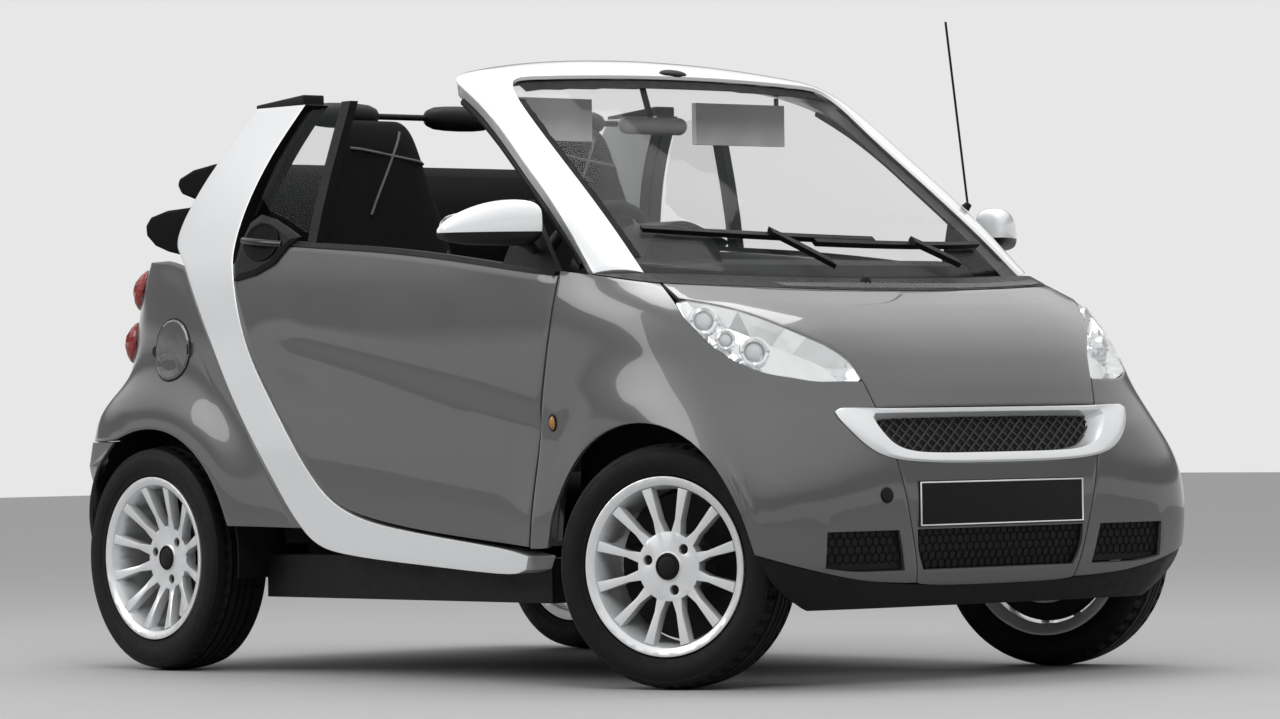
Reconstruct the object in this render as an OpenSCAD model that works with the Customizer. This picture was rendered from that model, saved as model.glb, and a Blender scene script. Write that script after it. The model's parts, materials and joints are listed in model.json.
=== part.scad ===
/* [Body] */
// Length over both bumpers
body_len = 2695; // [2670:5:2720]
// Width over the rear wheel arches
body_w = 1559; // [1545:1:1575]
// Distance between the axles
wheelbase = 1867; // [1855:1:1880]
// Front axle to the front end
front_overhang = 442; // [434:1:450]
// Height of the windscreen header at the middle
header_h = 1523; // [1505:1:1540]
// Height of the rear tower tops
tower_h = 1424; // [1410:1:1436]

/* [Panels] */
// Thickness of the plastic skin panels
skin_t = 9; // [7:0.5:11]
// Seam between two fixed panels, seen from outside
seam = 3.6; // [3:0.1:4.5]
// Gap left between two fixed panels at their inner edges
seat_gap = 0.8; // [0.6:0.1:0.9]
// Gap round a door
door_gap = 5.5; // [5:0.5:7]
// Inner face of the doors, from the middle
door_in = 640; // [630:1:648]
// Inner face of the side cells, from the middle
cell_in = 660; // [652:1:668]
// Radius of the wheel arch openings
arch_r = 335; // [325:1:345]
// How far the front arches stand out
front_flare = 9; // [4:1:14]
// How far the rear arches stand out
rear_flare = 31; // [24:1:36]
// Depth of the crease along the door
crease_d = 10; // [4:1:14]
// Radius of the fuel flap
flap_r = 78; // [65:1:85]

/* [Wheels] */
// Diameter of the front tyres
front_tyre_d = 567; // [555:1:580]
// Width of the front tyres
front_tyre_w = 155; // [145:1:165]
// Diameter of the rear tyres
rear_tyre_d = 573; // [560:1:590]
// Width of the rear tyres
rear_tyre_w = 175; // [165:1:185]
// Distance between the front tyres' middles
front_track = 1307; // [1280:1:1310]
// Distance between the rear tyres' middles
rear_track = 1385; // [1370:1:1395]
// Outer diameter of the rim flange
rim_d = 415; // [405:1:420]
// Number of spokes on each rim
spoke_count = 12; // [10:1:14]
// Diameter of the bolt circle
bolt_circle = 112; // [108:1:116]
// Radius of the wheel bolt holes
bolt_hole_r = 12; // [7:0.5:13]
// How far the front wheels are turned to the left
steer_park = 20; // [0:1:30]

/* [Cabin] */
// Middle of each seat, from the middle of the car
seat_y = 326; // [320:1:330]
// Width of each seat
seat_w = 456; // [430:2:460]
// Outer diameter of the steering wheel
wheel_d = 365; // [350:1:380]

/* [Hidden] */
$fn = 64;
eps = 0.3;

grey = [0.36, 0.37, 0.39];
silver = [0.86, 0.87, 0.88];
black = [0.05, 0.05, 0.055];
rubber = [0.03, 0.03, 0.03];
glass = [0.6, 0.65, 0.68, 0.5];
metal = [0.5, 0.5, 0.5];

nose_end = body_len / 2;
front_axle_x = nose_end - front_overhang;
rear_axle_x = front_axle_x - wheelbase;
front_r = front_tyre_d / 2;
rear_r = rear_tyre_d / 2;
front_arch = [front_axle_x + 20, front_r];
rear_arch = [rear_axle_x, rear_r];
// Middles of the rounded plan of nose and tail
nose_c = 500;
tail_c = -500;

// Body sections: height, nose set-back, side set-in, nose corner power, tail set-back, tail corner power
LEVELS = [
  [ 150,  75,  70, 6.0,  60, 7],
  [ 260,  14,  46, 7.5,  14, 10],
  [ 360,   3,  38, 8.0,   2, 12],
  [ 455,   0,  34, 7.5,   0, 12],
  [ 560,  15,  31, 5.6,   1, 12],
  [ 650,  40,  31, 4.2,   5, 11],
  [ 744,  72,  32, 3.6,  84, 7],
  [ 811, 135,  35, 3.8,  88, 6],
  [ 872, 236,  39, 4.2,  98, 6],
  [ 904, 306,  42, 4.2, 104, 6],
  [ 950, 405,  47, 3.6, 112, 6],
  [1050, 540,  64, 3.5, 140, 6],
  [1200, 640,  96, 3.5, 230, 6],
  [1440, 700, 165, 3.5, 330, 6]
];
NOSE = 1;
SIDE = 2;
NOSE_POW = 3;
TAIL = 4;
TAIL_POW = 5;

// Smooth curve through the rows of a table, looked up by its first column
function row_at(t, v, i = 0) = (i >= len(t) - 2 || v < t[i + 1][0]) ? i : row_at(t, v, i + 1);
function slope_at(t, i, c) =
  let (a = max(i - 1, 0), b = min(i + 1, len(t) - 1)) (t[b][c] - t[a][c]) / (t[b][0] - t[a][0]);
function curve(t, v, c) =
  let (i = row_at(t, v), h = t[i + 1][0] - t[i][0], f = (v - t[i][0]) / h, g = 1 - f)
  t[i][c] * (1 + 2 * f) * g * g + slope_at(t, i, c) * h * f * g * g
  + t[i + 1][c] * f * f * (3 - 2 * f) - slope_at(t, i + 1, c) * h * f * f * g;
function mix(a, b, f) = a + (b - a) * f;
function ease(v) = let (f = min(max(v, 0), 1)) f * f * (3 - 2 * f);
function unit(v) = v / norm(v);

// Half width of the body and the ends of its plan at a height
function half_w(z) = body_w / 2 - curve(LEVELS, z, SIDE);
function nose_len(z) = nose_end - curve(LEVELS, z, NOSE) - nose_c;
function tail_len(z) = nose_end - curve(LEVELS, z, TAIL) + tail_c;
function nose_pow(z) = curve(LEVELS, z, NOSE_POW);
function tail_pow(z) = curve(LEVELS, z, TAIL_POW);

// Swell of the body round a wheel arch, and the crease along the door
function swell(x, z, arch, amount) =
  amount * ease((arch_r + 170 - norm([x - arch[0], z - arch[1]])) / 150);
function crease_z(x) = 636 + (593 - x) * 0.197;
function crease(x, z) =
  let (d = crease_z(x) - z)
  crease_d * ease((d + 6) / 26) * (1 - ease((d - 40) / 230)) * ease((620 + x) / 260) * ease((760 - x) / 120);
function puff(x, z) =
  swell(x, z, front_arch, front_flare) + swell(x, z, rear_arch, rear_flare) - crease(x, z);

// Point on the right half of the nose or tail, by the angle round its middle, 0 straight ahead or behind
function oval(a, l, w, p) =
  a >= 90 ? w / sin(a) : 1 / pow(pow(cos(a) / l, p) + pow(sin(a) / w, p), 1 / p);
function swollen(p, w, z) = [p[0], -p[1] - puff(p[0], z) * ease((p[1] / w - 0.72) / 0.22), z];
function nose_pt(a, z) =
  let (w = half_w(z), r = oval(a, nose_len(z), w, nose_pow(z)))
  swollen([nose_c + r * cos(a), r * sin(a)], w, z);
function tail_pt(a, z) =
  let (w = half_w(z), r = oval(a, tail_len(z), w, tail_pow(z)))
  swollen([tail_c - r * cos(a), r * sin(a)], w, z);
// Angle of a plan point given by its distance along or across the car
function nose_a_x(x, z) =
  let (l = nose_len(z), w = half_w(z), p = nose_pow(z), f = max((x - nose_c) / l, 0))
  atan2(w * pow(1 - pow(min(f, 0.9999), p), 1 / p), x - nose_c);
function nose_a_y(y, z) =
  let (l = nose_len(z), w = half_w(z), p = nose_pow(z))
  atan2(y, l * pow(1 - pow(min(y / w, 0.9999), p), 1 / p));
function tail_a_x(x, z) =
  let (l = tail_len(z), w = half_w(z), p = tail_pow(z), f = max((tail_c - x) / l, 0))
  atan2(w * pow(1 - pow(min(f, 0.9999), p), 1 / p), tail_c - x);
function tail_a_y(y, z) =
  let (l = tail_len(z), w = half_w(z), p = tail_pow(z))
  atan2(y, l * pow(1 - pow(min(y / w, 0.9999), p), 1 / p));
function side_pt(x, z) = x > nose_c ? nose_pt(nose_a_x(x, z), z)
  : x < tail_c ? tail_pt(tail_a_x(x, z), z) : [x, -half_w(z) - puff(x, z), z];

// Outward normals, from two small steps over the surface
function nose_n(a, z) =
  let (p = nose_pt(a, z)) unit(cross(nose_pt(a, z + 3) - p, nose_pt(a + 0.4, z) - p));
function tail_n(a, z) =
  let (p = tail_pt(a, z)) unit(cross(tail_pt(a + 0.4, z) - p, tail_pt(a, z + 3) - p));
function nose_in(a, z, d) = nose_pt(a, z) - d * nose_n(a, z);
function tail_in(a, z, d) = tail_pt(a, z) - d * tail_n(a, z);

// Solid from points and triangles, turned the right way out by its signed volume
function total(v) = v * [for (i = v) 1];
module solid(points, faces) {
  inside = total([for (f = faces) points[f[0]] * cross(points[f[1]], points[f[2]])]);
  polyhedron(points, inside < 0 ? faces : [for (f = faces) [f[0], f[2], f[1]]], convexity = 8);
}
// Body through a row of flat sections with equal numbers of points
module loft(sections) {
  n = len(sections[0]);
  last = (len(sections) - 1) * n;
  points = [for (s = sections) each s];
  faces = concat(
    [for (i = [0 : len(sections) - 2], j = [0 : n - 1])
      let (k = (j + 1) % n, a = i * n + j, b = i * n + k, c = a + n, d = b + n) each [[a, b, d], [a, d, c]]],
    [for (j = [1 : n - 2]) each [[0, j + 1, j], [last, last + j, last + j + 1]]]
  );
  solid(points, faces);
}
// Closed shell between an outer and an inner grid of points; cells named in holes are left open
module shell(outer, inner, holes = []) {
  nu = len(outer);
  nv = len(outer[0]);
  half = nu * nv;
  points = concat([for (row = outer) each row], [for (row = inner) each row]);
  function id(i, j, k) = k * half + i * nv + j;
  function open(i, j) =
    i < 0 || j < 0 || i >= nu - 1 || j >= nv - 1
    || len([for (h = holes) if (i >= h[0] && i < h[1] && j >= h[2] && j < h[3]) 1]) > 0;
  function quad(a, b, c, d) = [[a, b, c], [a, c, d]];
  faces = [
    for (i = [0 : nu - 2], j = [0 : nv - 2]) if (!open(i, j)) each concat(
      quad(id(i, j, 0), id(i + 1, j, 0), id(i + 1, j + 1, 0), id(i, j + 1, 0)),
      quad(id(i, j, 1), id(i, j + 1, 1), id(i + 1, j + 1, 1), id(i + 1, j, 1)),
      open(i - 1, j) ? quad(id(i, j, 0), id(i, j + 1, 0), id(i, j + 1, 1), id(i, j, 1)) : [],
      open(i + 1, j)
        ? quad(id(i + 1, j, 0), id(i + 1, j, 1), id(i + 1, j + 1, 1), id(i + 1, j + 1, 0)) : [],
      open(i, j - 1) ? quad(id(i, j, 0), id(i, j, 1), id(i + 1, j, 1), id(i + 1, j, 0)) : [],
      open(i, j + 1)
        ? quad(id(i, j + 1, 0), id(i + 1, j + 1, 0), id(i + 1, j + 1, 1), id(i, j + 1, 1)) : []
    )
  ];
  solid(points, faces);
}

module both_sides() {
  children();
  mirror([0, 1, 0]) children();
}

// Side cell, station by station from the sill's front tip to the tower's top:
// front or upper edge x and z, rear or lower edge x and z
CELL = [
  [ 515,  303,  500,  272],
  [ 400,  322,  420,  260],
  [ 113,  353,  111,  278],
  [-110,  385, -170,  299],
  [-240,  431, -310,  326],
  [-328,  500, -400,  395],
  [-419,  602, -500,  512],
  [-538,  748, -625,  668],
  [-606,  858, -745,  845],
  [-660,  992, -880, 1030],
  [-673, 1075, -938, 1100],
  [-640, 1190, -884, 1206],
  [-577, 1310, -790, 1318],
  [-490, 1424, -690, 1424]
];
CELL_ENDS = len(CELL) - 1;
CELL_LIFT = tower_h - CELL[CELL_ENDS][3];
function cell_row(i) = concat([i], CELL[i] + (i == CELL_ENDS ? [0, CELL_LIFT, 0, CELL_LIFT] : [0, 0, 0, 0]));
CELL_ROWS = [for (i = [0 : CELL_ENDS]) cell_row(i)];
function cell_front(u) = [curve(CELL_ROWS, u, 1), curve(CELL_ROWS, u, 2)];
function cell_rear(u) = [curve(CELL_ROWS, u, 3), curve(CELL_ROWS, u, 4)];
// Edge of the cell moved sideways, towards the front of the car when d is positive
function beside(p, q, d) = let (t = unit(q - p)) [t[1], -t[0]] * d;
function cell_front_off(u, d) =
  let (v = min(u, CELL_ENDS - 0.05)) cell_front(u) + beside(cell_front(v), cell_front(v + 0.05), d);
function cell_rear_off(u, d) =
  let (v = min(u, CELL_ENDS - 0.05)) cell_rear(u) + beside(cell_rear(v), cell_rear(v + 0.05), d);
// Inner face of the cell, which leans in with the tower
function cell_inner_y(z) = z < 1000 ? cell_in : mix(cell_in, 545, (z - 1000) / (tower_h - 1000));

cell_steps = 3;
module cell_side() {
  us = [for (k = [0 : CELL_ENDS * cell_steps]) k / cell_steps];
  across = [0, 0.12, 0.5, 0.88, 1];
  function at(u, f) = mix(cell_front(u), cell_rear(u), f);
  outer = [for (u = us) [for (f = across) let (p = at(u, f)) side_pt(p[0], p[1])]];
  inner = [for (u = us) [for (f = across) let (p = at(u, f)) [p[0], -cell_inner_y(p[1]), p[1]]]];
  shell(outer, inner);
}
module cell_sides() { color(silver) both_sides() cell_side(); }

// Door: front edge, belt and crease
door_front = [523, 314, 626, 974];
function door_front_x(z) = mix(door_front[0], door_front[2], (z - door_front[1])
  / (door_front[3] - door_front[1]));
function belt_z(x) = 976 + (592 - x) * 0.0995 + 10 * ease((592 - x) / 500) * ease((x + 500) / 500);
seal_h = 12;
// Top edge of the door skin, which dips under the handle housing
function door_top_z(x) = belt_z(x) - seal_h - 58 * ease((-430 - x) / 230);
crease_row = 8;
// Rows of the door from sill to belt: station on the cell's edge, height at the front edge
DOOR_ROWS = [
  [4.00,  326], [4.60, 380], [5.30, 440], [6.00, 500], [6.60, 550], [7.10, 590], [7.55, 618],
  [7.85, 640], [8.15, 668], [8.50, 730], [8.85, 805], [9.15, 885], [9.45, 970]
];
door_cols = 16;
function door_row_pt(k, s, gap) =
  let (
    last = len(DOOR_ROWS) - 1,
    rear = cell_front_off(DOOR_ROWS[k][0], gap),
    fz = DOOR_ROWS[k][1],
    front = [door_front_x(fz) - gap, fz],
    p = mix(rear, front, s),
    sag = -24 * sin(180 * pow(s, 0.6)) * max(0, 1 - k / 6),
    line_z = mix(cell_front_off(DOOR_ROWS[last][0], gap)[1], DOOR_ROWS[last][1], s),
    rise = (door_top_z(p[0]) - line_z) * max(0, (k - crease_row) / (last - crease_row))
  ) [p[0], p[1] + sag + rise];
// How much wider the gap is at the door's inner face
door_draft = 4;
module door_skin() {
  ss = [for (i = [0 : door_cols]) i / door_cols];
  ks = [for (k = [0 : len(DOOR_ROWS) - 1]) k];
  outer = [for (s = ss) [for (k = ks) let (p = door_row_pt(k, s, door_gap)) side_pt(p[0], p[1])]];
  inner = [for (s = ss) [for (k = ks) let (p = door_row_pt(k, s, door_gap + door_draft))
    [p[0], -door_in, p[1]]]];
  shell(outer, inner);
}
// Hinge of the door: place of the pin and the heights of its two knuckles
hinge_x = 640;
hinge_y = 722;
hinge_zs = [560, 760];
hinge_h = 26;
pin_r = 5;
pin_fit = 0.06;
// Inner and outer face of the hinge arms, and the door's gap where they meet its edge
hinge_arm_y = [door_in + 4, door_in + 20];
hinge_gap = door_gap + door_draft * 0.81;
module hinge_arm(z) {
  difference() {
    union() {
      translate([hinge_x, -hinge_y, z]) cylinder(r = pin_r + 5, h = hinge_h);
      translate([hinge_x - 7, -hinge_y + 2, z]) cube([14, hinge_y - hinge_arm_y[0] - 2, hinge_h]);
      translate([0, -hinge_arm_y[0], 0]) rotate([90, 0, 0]) linear_extrude(hinge_arm_y[1] - hinge_arm_y[0])
        polygon([
          [door_front_x(z) - hinge_gap + 2 * eps, z], [hinge_x, z],
          [hinge_x, z + hinge_h], [door_front_x(z + hinge_h) - hinge_gap + 2 * eps, z + hinge_h]
        ]);
    }
    translate([hinge_x, -hinge_y, z - 1]) cylinder(r = pin_r + pin_fit, h = hinge_h + 2);
  }
}
module door_panel() { color(grey) door_skin(); }

// Black pieces on the door: handle housing, belt seal, divider bar, sail triangle, hinge arms
// outline of the handle housing along the door: x, z
HOUSING = [
  [-648, 985], [-560, 999], [-490, 1023], [-440, 1066], [-395, 1088],
  [-440, 1108], [-510, 1136], [-570, 1150], [-612, 1130], [-640, 1080], [-652, 1030]
];
module handle_housing() { fan(HOUSING, [-540, 1068], [6, 13]); }
module fan(rim, mid, lift) {
  n = len(rim);
  function spot(p, f, d) = let (q = mix(mid, p, f), s = side_pt(q[0], q[1])) [s[0], s[1] - d, s[2]];
  points = concat(
    [for (p = rim) spot(p, 1, eps)],
    [for (p = rim) spot(p, 1, lift[0])],
    [for (p = rim) spot(p, 0.8, lift[1])],
    [spot(mid, 0, lift[1]), spot(mid, 0, lift[0] / 2)]
  );
  faces = [for (i = [0 : n - 1]) let (j = (i + 1) % n) each [
    [i, j, n + j], [i, n + j, n + i],
    [n + i, n + j, 2 * n + j], [n + i, 2 * n + j, 2 * n + i],
    [2 * n + i, 2 * n + j, 3 * n], [j, i, 3 * n + 1]
  ]];
  solid(points, faces);
}

// Seal along the top of the door, from the housing to the sail triangle
module belt_seal() {
  xs = [for (i = [0 : 10]) mix(-425, 612, i / 10)];
  function at(x, y, z) = let (p = side_pt(x, z)) [x, p[1] + y, z];
  outer = [for (x = xs) [for (c = [0, 1]) at(x, -4 * (1 - c), belt_z(x) - seal_h + eps + seal_h * c)]];
  inner = [for (x = xs) [for (c = [0, 1]) at(x, 22, belt_z(x) - seal_h + eps + seal_h * c)]];
  shell(outer, inner);
}
// Bar on the door between the main window and the quarter window
bar_foot = [-354, 1066];
bar_top = [-325, 1424];
bar_half = 18;
module divider_bar() {
  fs = [for (i = [0 : 4]) i / 4];
  function at(f, dx, dy) = let (q = mix(bar_foot, bar_top, f), p = side_pt(q[0], q[1]))
    [p[0] + dx, p[1] + dy, p[2]];
  outer = [for (f = fs) [at(f, -bar_half, 2), at(f, bar_half, 2)]];
  inner = [for (f = fs) [at(f, -bar_half, 26), at(f, bar_half, 26)]];
  shell(outer, inner);
}
// Triangle at the front of the window, which carries the mirror: x, z
SAIL = [[410, 990], [621, 971], [480, 1150]];
sail_t = 14;
module sail() {
  function edge(f, c) = mix(mix(SAIL[0], SAIL[1], f), SAIL[2], c);
  fs = [for (i = [0 : 4]) i / 4];
  cs = [0, 0.33, 0.66, 0.97];
  outer = [for (f = fs) [for (c = cs) let (q = edge(f, c)) side_pt(q[0], q[1])]];
  inner = [for (r = outer) [for (p = r) p + [0, sail_t, 0]]];
  shell(outer, inner);
}
module door_fittings() {
  color(black) {
    handle_housing();
    belt_seal();
    divider_bar();
    sail();
    for (z = hinge_zs) hinge_arm(z);
  }
}
// Quarter window behind the divider bar
GLASS_REAR = [[-395, 1100], [-470, 1133], [-560, 1160], [-604, 1200], [-575, 1270], [-540, 1330],
  [-485, 1406]];
module quarter_glass() {
  rows = len(GLASS_REAR);
  function at(k, f, d) =
    let (
      q = mix(mix(bar_foot, bar_top, mix(0.08, 0.98, k / (rows - 1))) - [bar_half + eps, 0], GLASS_REAR[k],
        f),
      p = side_pt(q[0], q[1])
    ) [p[0], p[1] + d, p[2]];
  fs = [0, 0.35, 0.7, 1];
  outer = [for (k = [0 : rows - 1]) [for (f = fs) at(k, f, 9)]];
  inner = [for (k = [0 : rows - 1]) [for (f = fs) at(k, f, 14)]];
  color(glass) shell(outer, inner);
}
// Outside mirror, a drop with its tall end by the door: y, middle x, half depth, foot and top heights
MIRROR = [
  [-742, 548, 40, 1046, 1128], [-756, 545, 56, 1036, 1141], [-790, 526, 60, 1033, 1145],
  [-825, 506, 58, 1033, 1141],
  [-860, 485, 52, 1034, 1130], [-895, 462, 42, 1038, 1112], [-920, 444, 30, 1046, 1092],
  [-931, 434, 14, 1054, 1076]
];
mirror_sides = 16;
mirror_power = 0.7;
mirror_foot = [540, 1024];
mirror_foot_r = 11;
module mirror_unit() {
  function section(m) = [for (i = [0 : mirror_sides - 1]) let (a = 360 / mirror_sides * (i + 0.5)) [
    m[1] + m[2] * sgn_pow(cos(a), mirror_power), m[0],
      mix(m[3], m[4], (1 + sgn_pow(sin(a), mirror_power)) / 2)
  ]];
  color(silver) {
    loft([for (m = MIRROR) section(m)]);
    hull() {
      translate([mirror_foot[0], MIRROR[1][0] - 8, MIRROR[1][3] + 14]) sphere(r = 16, $fn = 16);
      translate(side_pt(mirror_foot[0], mirror_foot[1]) - [0, mirror_foot_r + 2 * eps, 0])
        sphere(r = mirror_foot_r, $fn = 16);
    }
  }
}
function sgn_pow(v, p) = sign(v) * pow(abs(v), p);

// Front wing, column by column from the arch's front end to the door:
// arch angle at the foot, distance ahead of the front axle and height at the top edge
WING = [
  [  5,  255,  733],
  [ 20,  215,  754],
  [ 38,  175,  782],
  [ 56,  135,  817],
  [ 74,   92,  855],
  [ 90,   54,  890],
  [106,  -30,  937],
  [124,  -85,  945],
  [142, -140,  955],
  [160, -185,  962],
  [173, -225,  967]
];
// Rows of WING at the lamp's tip, and where bonnet, wing and cowl meet
tip_row = 5;
cowl_row = 6;
lamp_low = 703;
grille_top = 640;
wing_foot_z = 322;
// Lower edge of the grille surround, by distance across
grille_half = 470;
function grille_low(y) = 512 + 92 * pow(min(abs(y) / grille_half, 1), 4);
// Seam between wing and bumper centre
function nose_seam(z) = 286 + (z - 361) * 0.248;
// Lower edge of the nose panels, by distance across
function nose_foot(y) = 226 + 82 * pow(min(abs(y) / 690, 1), 3);
// Height of the grille opening on the wing, which runs out beyond the grille's end
function grille_edge(y) = mix(grille_low(y), 520, ease((y - grille_half) / 60));
// Heights of the wing's rows on the nose: foot, side intake, grille, lamp
function nose_rows(y, inset = 0, out = 0) = [
  nose_foot(y + out) + inset, max(nose_foot(y + out) + 12, 266), 312, 360, 435,
    mix(435, grille_edge(y), 0.55),
  grille_edge(y), mix(570, 600, ease(y / 430)), grille_top, 672, lamp_low
];
// Columns of the wing on the nose, by distance across
WING_YS = [400, 440, 490];
// How far these columns stand further out at the side intake
WING_OUT = [0, 25, 52];
NOSE_FRACS = [for (z = nose_rows(560)) (z - nose_rows(560)[0]) / (lamp_low - nose_rows(560)[0])];
// Top edge of the wing on the corner of the nose, between lamp and arch
CORNER = [[0.35, 318, 712], [0.7, 285, 721]];
corner_y = 575;
function wing_column(k, inset) =
  k < 5 ? [for (z = nose_rows(k < 2 ? 340 : WING_YS[k - 2], inset, k < 2 ? 0 : WING_OUT[k - 2]))
      let (y = k == 0 ? nose_seam(z) + inset : k == 1 ? min(nose_seam(z) + 40, WING_YS[0] - 16)
             : WING_YS[k - 2] + WING_OUT[k - 2] * (1 - ease((z - 380) / 250)),
           zz = z == lamp_low ? z - inset : z)
      [nose_a_y(y, zz), zz]]
  : let (
      corner = k < 7,
      i = k - 7,
      leg = i >= len(WING),
      last = i == len(WING) + 1,
      arch_a = corner ? WING[0][0] : leg ? 0 : WING[i][0],
      foot_z = leg ? wing_foot_z : front_arch[1] + arch_r * sin(arch_a),
      foot_x = last ? door_front_x(foot_z) + inset
        : leg ? mix(door_front_x(foot_z), front_arch[0] - arch_r, 0.55)
        : front_arch[0] + arch_r * cos(arch_a),
      f = corner ? CORNER[k - 5][0] : 1,
      z0 = corner ? mix(nose_foot(corner_y), foot_z, f) : foot_z,
      a0 = corner ? mix(nose_a_y(corner_y, z0), nose_a_x(foot_x, foot_z), f) : nose_a_x(foot_x, foot_z),
      z1 = (corner ? CORNER[k - 5][2] : leg ? (last ? 974 : 970) : WING[i][2]) - inset,
      top_x = corner ? front_axle_x + CORNER[k - 5][1]
        : last ? door_front_x(z1) + inset : leg ? front_axle_x - 248 : front_axle_x + WING[i][1],
      a1 = nose_a_x(top_x, z1)
    )
    [for (f = NOSE_FRACS) let (z = mix(z0, z1, f))
      [last ? nose_a_x(door_front_x(z) + inset, z) : mix(a0, a1, f), z]];
wing_cols = 9 + len(WING);
module wing_side() {
  cols = [for (k = [0 : wing_cols - 1]) wing_column(k, seam / 2)];
  backs = [for (k = [0 : wing_cols - 1]) wing_column(k, seat_gap / 2)];
  outer = [for (c = cols) [for (p = c) nose_pt(p[0], p[1])]];
  inner = [for (c = backs) [for (p = c) nose_in(p[0], p[1], skin_t)]];
  shell(outer, inner, [[1, 4, 1, 3], [0, 2, 6, 8]]);
}
module front_wings() { color(grey) both_sides() wing_side(); }

// Bonnet, row by row from the grille to the cowl: height, half width
BONNET = [
  [grille_top, nose_seam(grille_top)], [672, nose_seam(672)], [lamp_low, nose_seam(lamp_low)], [753, 390],
  [782, 416],
  [819, 476], [850, 520], [873, 559], [893, 616], [900, 645], [937, 628]
];
cowl_half = BONNET[len(BONNET) - 1][1];
cowl_seam = 0.8;
function cowl_z(f) = 918 + 19 * f * f;
module bonnet() {
  fs = [for (i = [-8 : 8]) i / 8];
  function at(f, k, inset) =
    let (
      h = BONNET[k][0],
      t = max(0, (h - 819) / (937 - 819)),
      z = mix(h, mix(819, cowl_z(f), t), t > 0 ? 1 : 0)
        + (k == 0 ? inset : k == len(BONNET) - 1 ? -inset * cowl_seam / seam * 2 : 0),
      y = f * (BONNET[k][1] - inset)
    ) [nose_a_y(abs(y), z), z, sign(f)];
  function side(p, s) = [p[0], s > 0 ? -p[1] : p[1], p[2]];
  outer = [for (f = fs) [for (k = [0 : len(BONNET) - 1]) let (q = at(f, k, seam / 2))
    side(nose_pt(q[0], q[1]), q[2])]];
  inner = [for (f = fs) [for (k = [0 : len(BONNET) - 1])
    let (q = at(f, k, seat_gap / 2)) side(nose_in(q[0], q[1], skin_t), q[2])]];
  color(grey) shell(outer, inner);
}

// Bumper centre between the wings, with the lower intake
intake_half = 268;
module bumper_centre() {
  fs = [-1, -0.8, -0.53, -0.27, 0, 0.27, 0.53, 0.8, 1];
  function rows(y, inset) =
    [nose_foot(y) + inset, 266, 312, 360, 400, 445, mix(445, grille_low(y), 0.6), grille_low(y)];
  function at(f, k, inset) =
    let (
      z = rows(abs(f) * 340, inset)[k],
      edge = nose_seam(z) - inset,
      y = abs(f) == 1 ? edge : abs(f) == 0.8 ? intake_half - (k < 2 ? 24 : 0) : abs(f) / 0.8 * intake_half
    ) [nose_a_y(y, z), z, sign(f)];
  function side(p, s) = [p[0], s > 0 ? -p[1] : p[1], p[2]];
  outer = [for (f = fs) [for (k = [0 : 7]) let (q = at(f, k, seam / 2)) side(nose_pt(q[0], q[1]), q[2])]];
  inner = [for (f = fs) [for (k = [0 : 7]) let (q = at(f, k, seat_gap / 2))
    side(nose_in(q[0], q[1], skin_t), q[2])]];
  color(grey) shell(outer, inner, [[1, 7, 1, 3]]);
}
// Black apron under the nose, from arch to arch
apron_z = 178;
apron_sink = 4;
apron_end = front_arch[0] + arch_r + 4;
module front_apron() {
  ys = [690, 610, 530, 400, 270, 135];
  fs = concat([for (y = ys) -y], [0], [for (i = [5 : -1 : 0]) ys[i]]);
  function angle(y, z) =
    y <= ys[2] ? nose_a_y(y, z)
    : mix(nose_a_y(ys[2], z), nose_a_x(apron_end, z), (y - ys[2]) / (ys[0] - ys[2]));
  function at(y, t, inset) =
    let (z = mix(apron_z, nose_foot(y) - inset, t)) [angle(abs(y), z), z, sign(y)];
  function side(p, s) = [p[0], s > 0 ? -p[1] : p[1], p[2]];
  ts = [0, 0.5, 1];
  outer = [for (y = fs) [for (t = ts) let (q = at(y, t, seat_gap / 2))
    side(nose_in(q[0], q[1], apron_sink), q[2])]];
  inner = [for (y = fs) [for (t = ts)
    let (q = at(y, t, seat_gap / 2)) side(nose_in(q[0], q[1], apron_sink + skin_t), q[2])]];
  color(black) shell(outer, inner);
}
// Silver surround of the grille, lying on the panels and turned in to a funnel, with the mesh behind it
// Right half of its outer and inner outlines, from the middle of the foot to the middle of the top: y, z
RING_OUT = [
  [0, 510], [90, 510], [180, 511], [268, 515], [331, 522], [378, 535], [414, 556], [442, 585], [466, 615],
  [470, 632],
  [455, 641], [405, 641], [350, 638.5], [180, 638.5], [0, 638.5]
];
RING_IN = [
  [0, 541], [75, 541], [150, 541], [222, 542], [262, 546], [292, 553], [312, 565], [327, 582], [338, 602],
  [341, 613],
  [334, 622], [300, 623], [260, 623.5], [130, 624], [0, 624]
];
ring_h = 7;
ring_base = 0.9;
ring_depth = 30;
module grille_surround() {
  half = len(RING_OUT);
  function whole(side) = concat(side, [for (i = [half - 2 : -1 : 1]) [-side[i][0], side[i][1]]]);
  outs = whole(RING_OUT);
  ins = whole(RING_IN);
  m = len(outs);
  function spot(i, f, d) =
    let (p = mix(outs[i % m], ins[i % m], f), q = nose_in(nose_a_y(abs(p[0]), p[1]), p[1], -d))
    [q[0], p[0] > 0 ? -abs(q[1]) : abs(q[1]), q[2]];
  outer = [for (i = [0 : m]) [spot(i, 0, 2), spot(i, 0.15, ring_h), spot(i, 0.45, 6), spot(i, 0.75, 4),
    spot(i, 1, -ring_depth)]];
  inner = [for (i = [0 : m])
    concat([for (f = [0, 0.15, 0.4, 0.62]) spot(i, f, ring_base)], [spot(i, 0.88, -ring_depth)])];
  color(silver) closed_ring(outer, inner);
}
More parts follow.
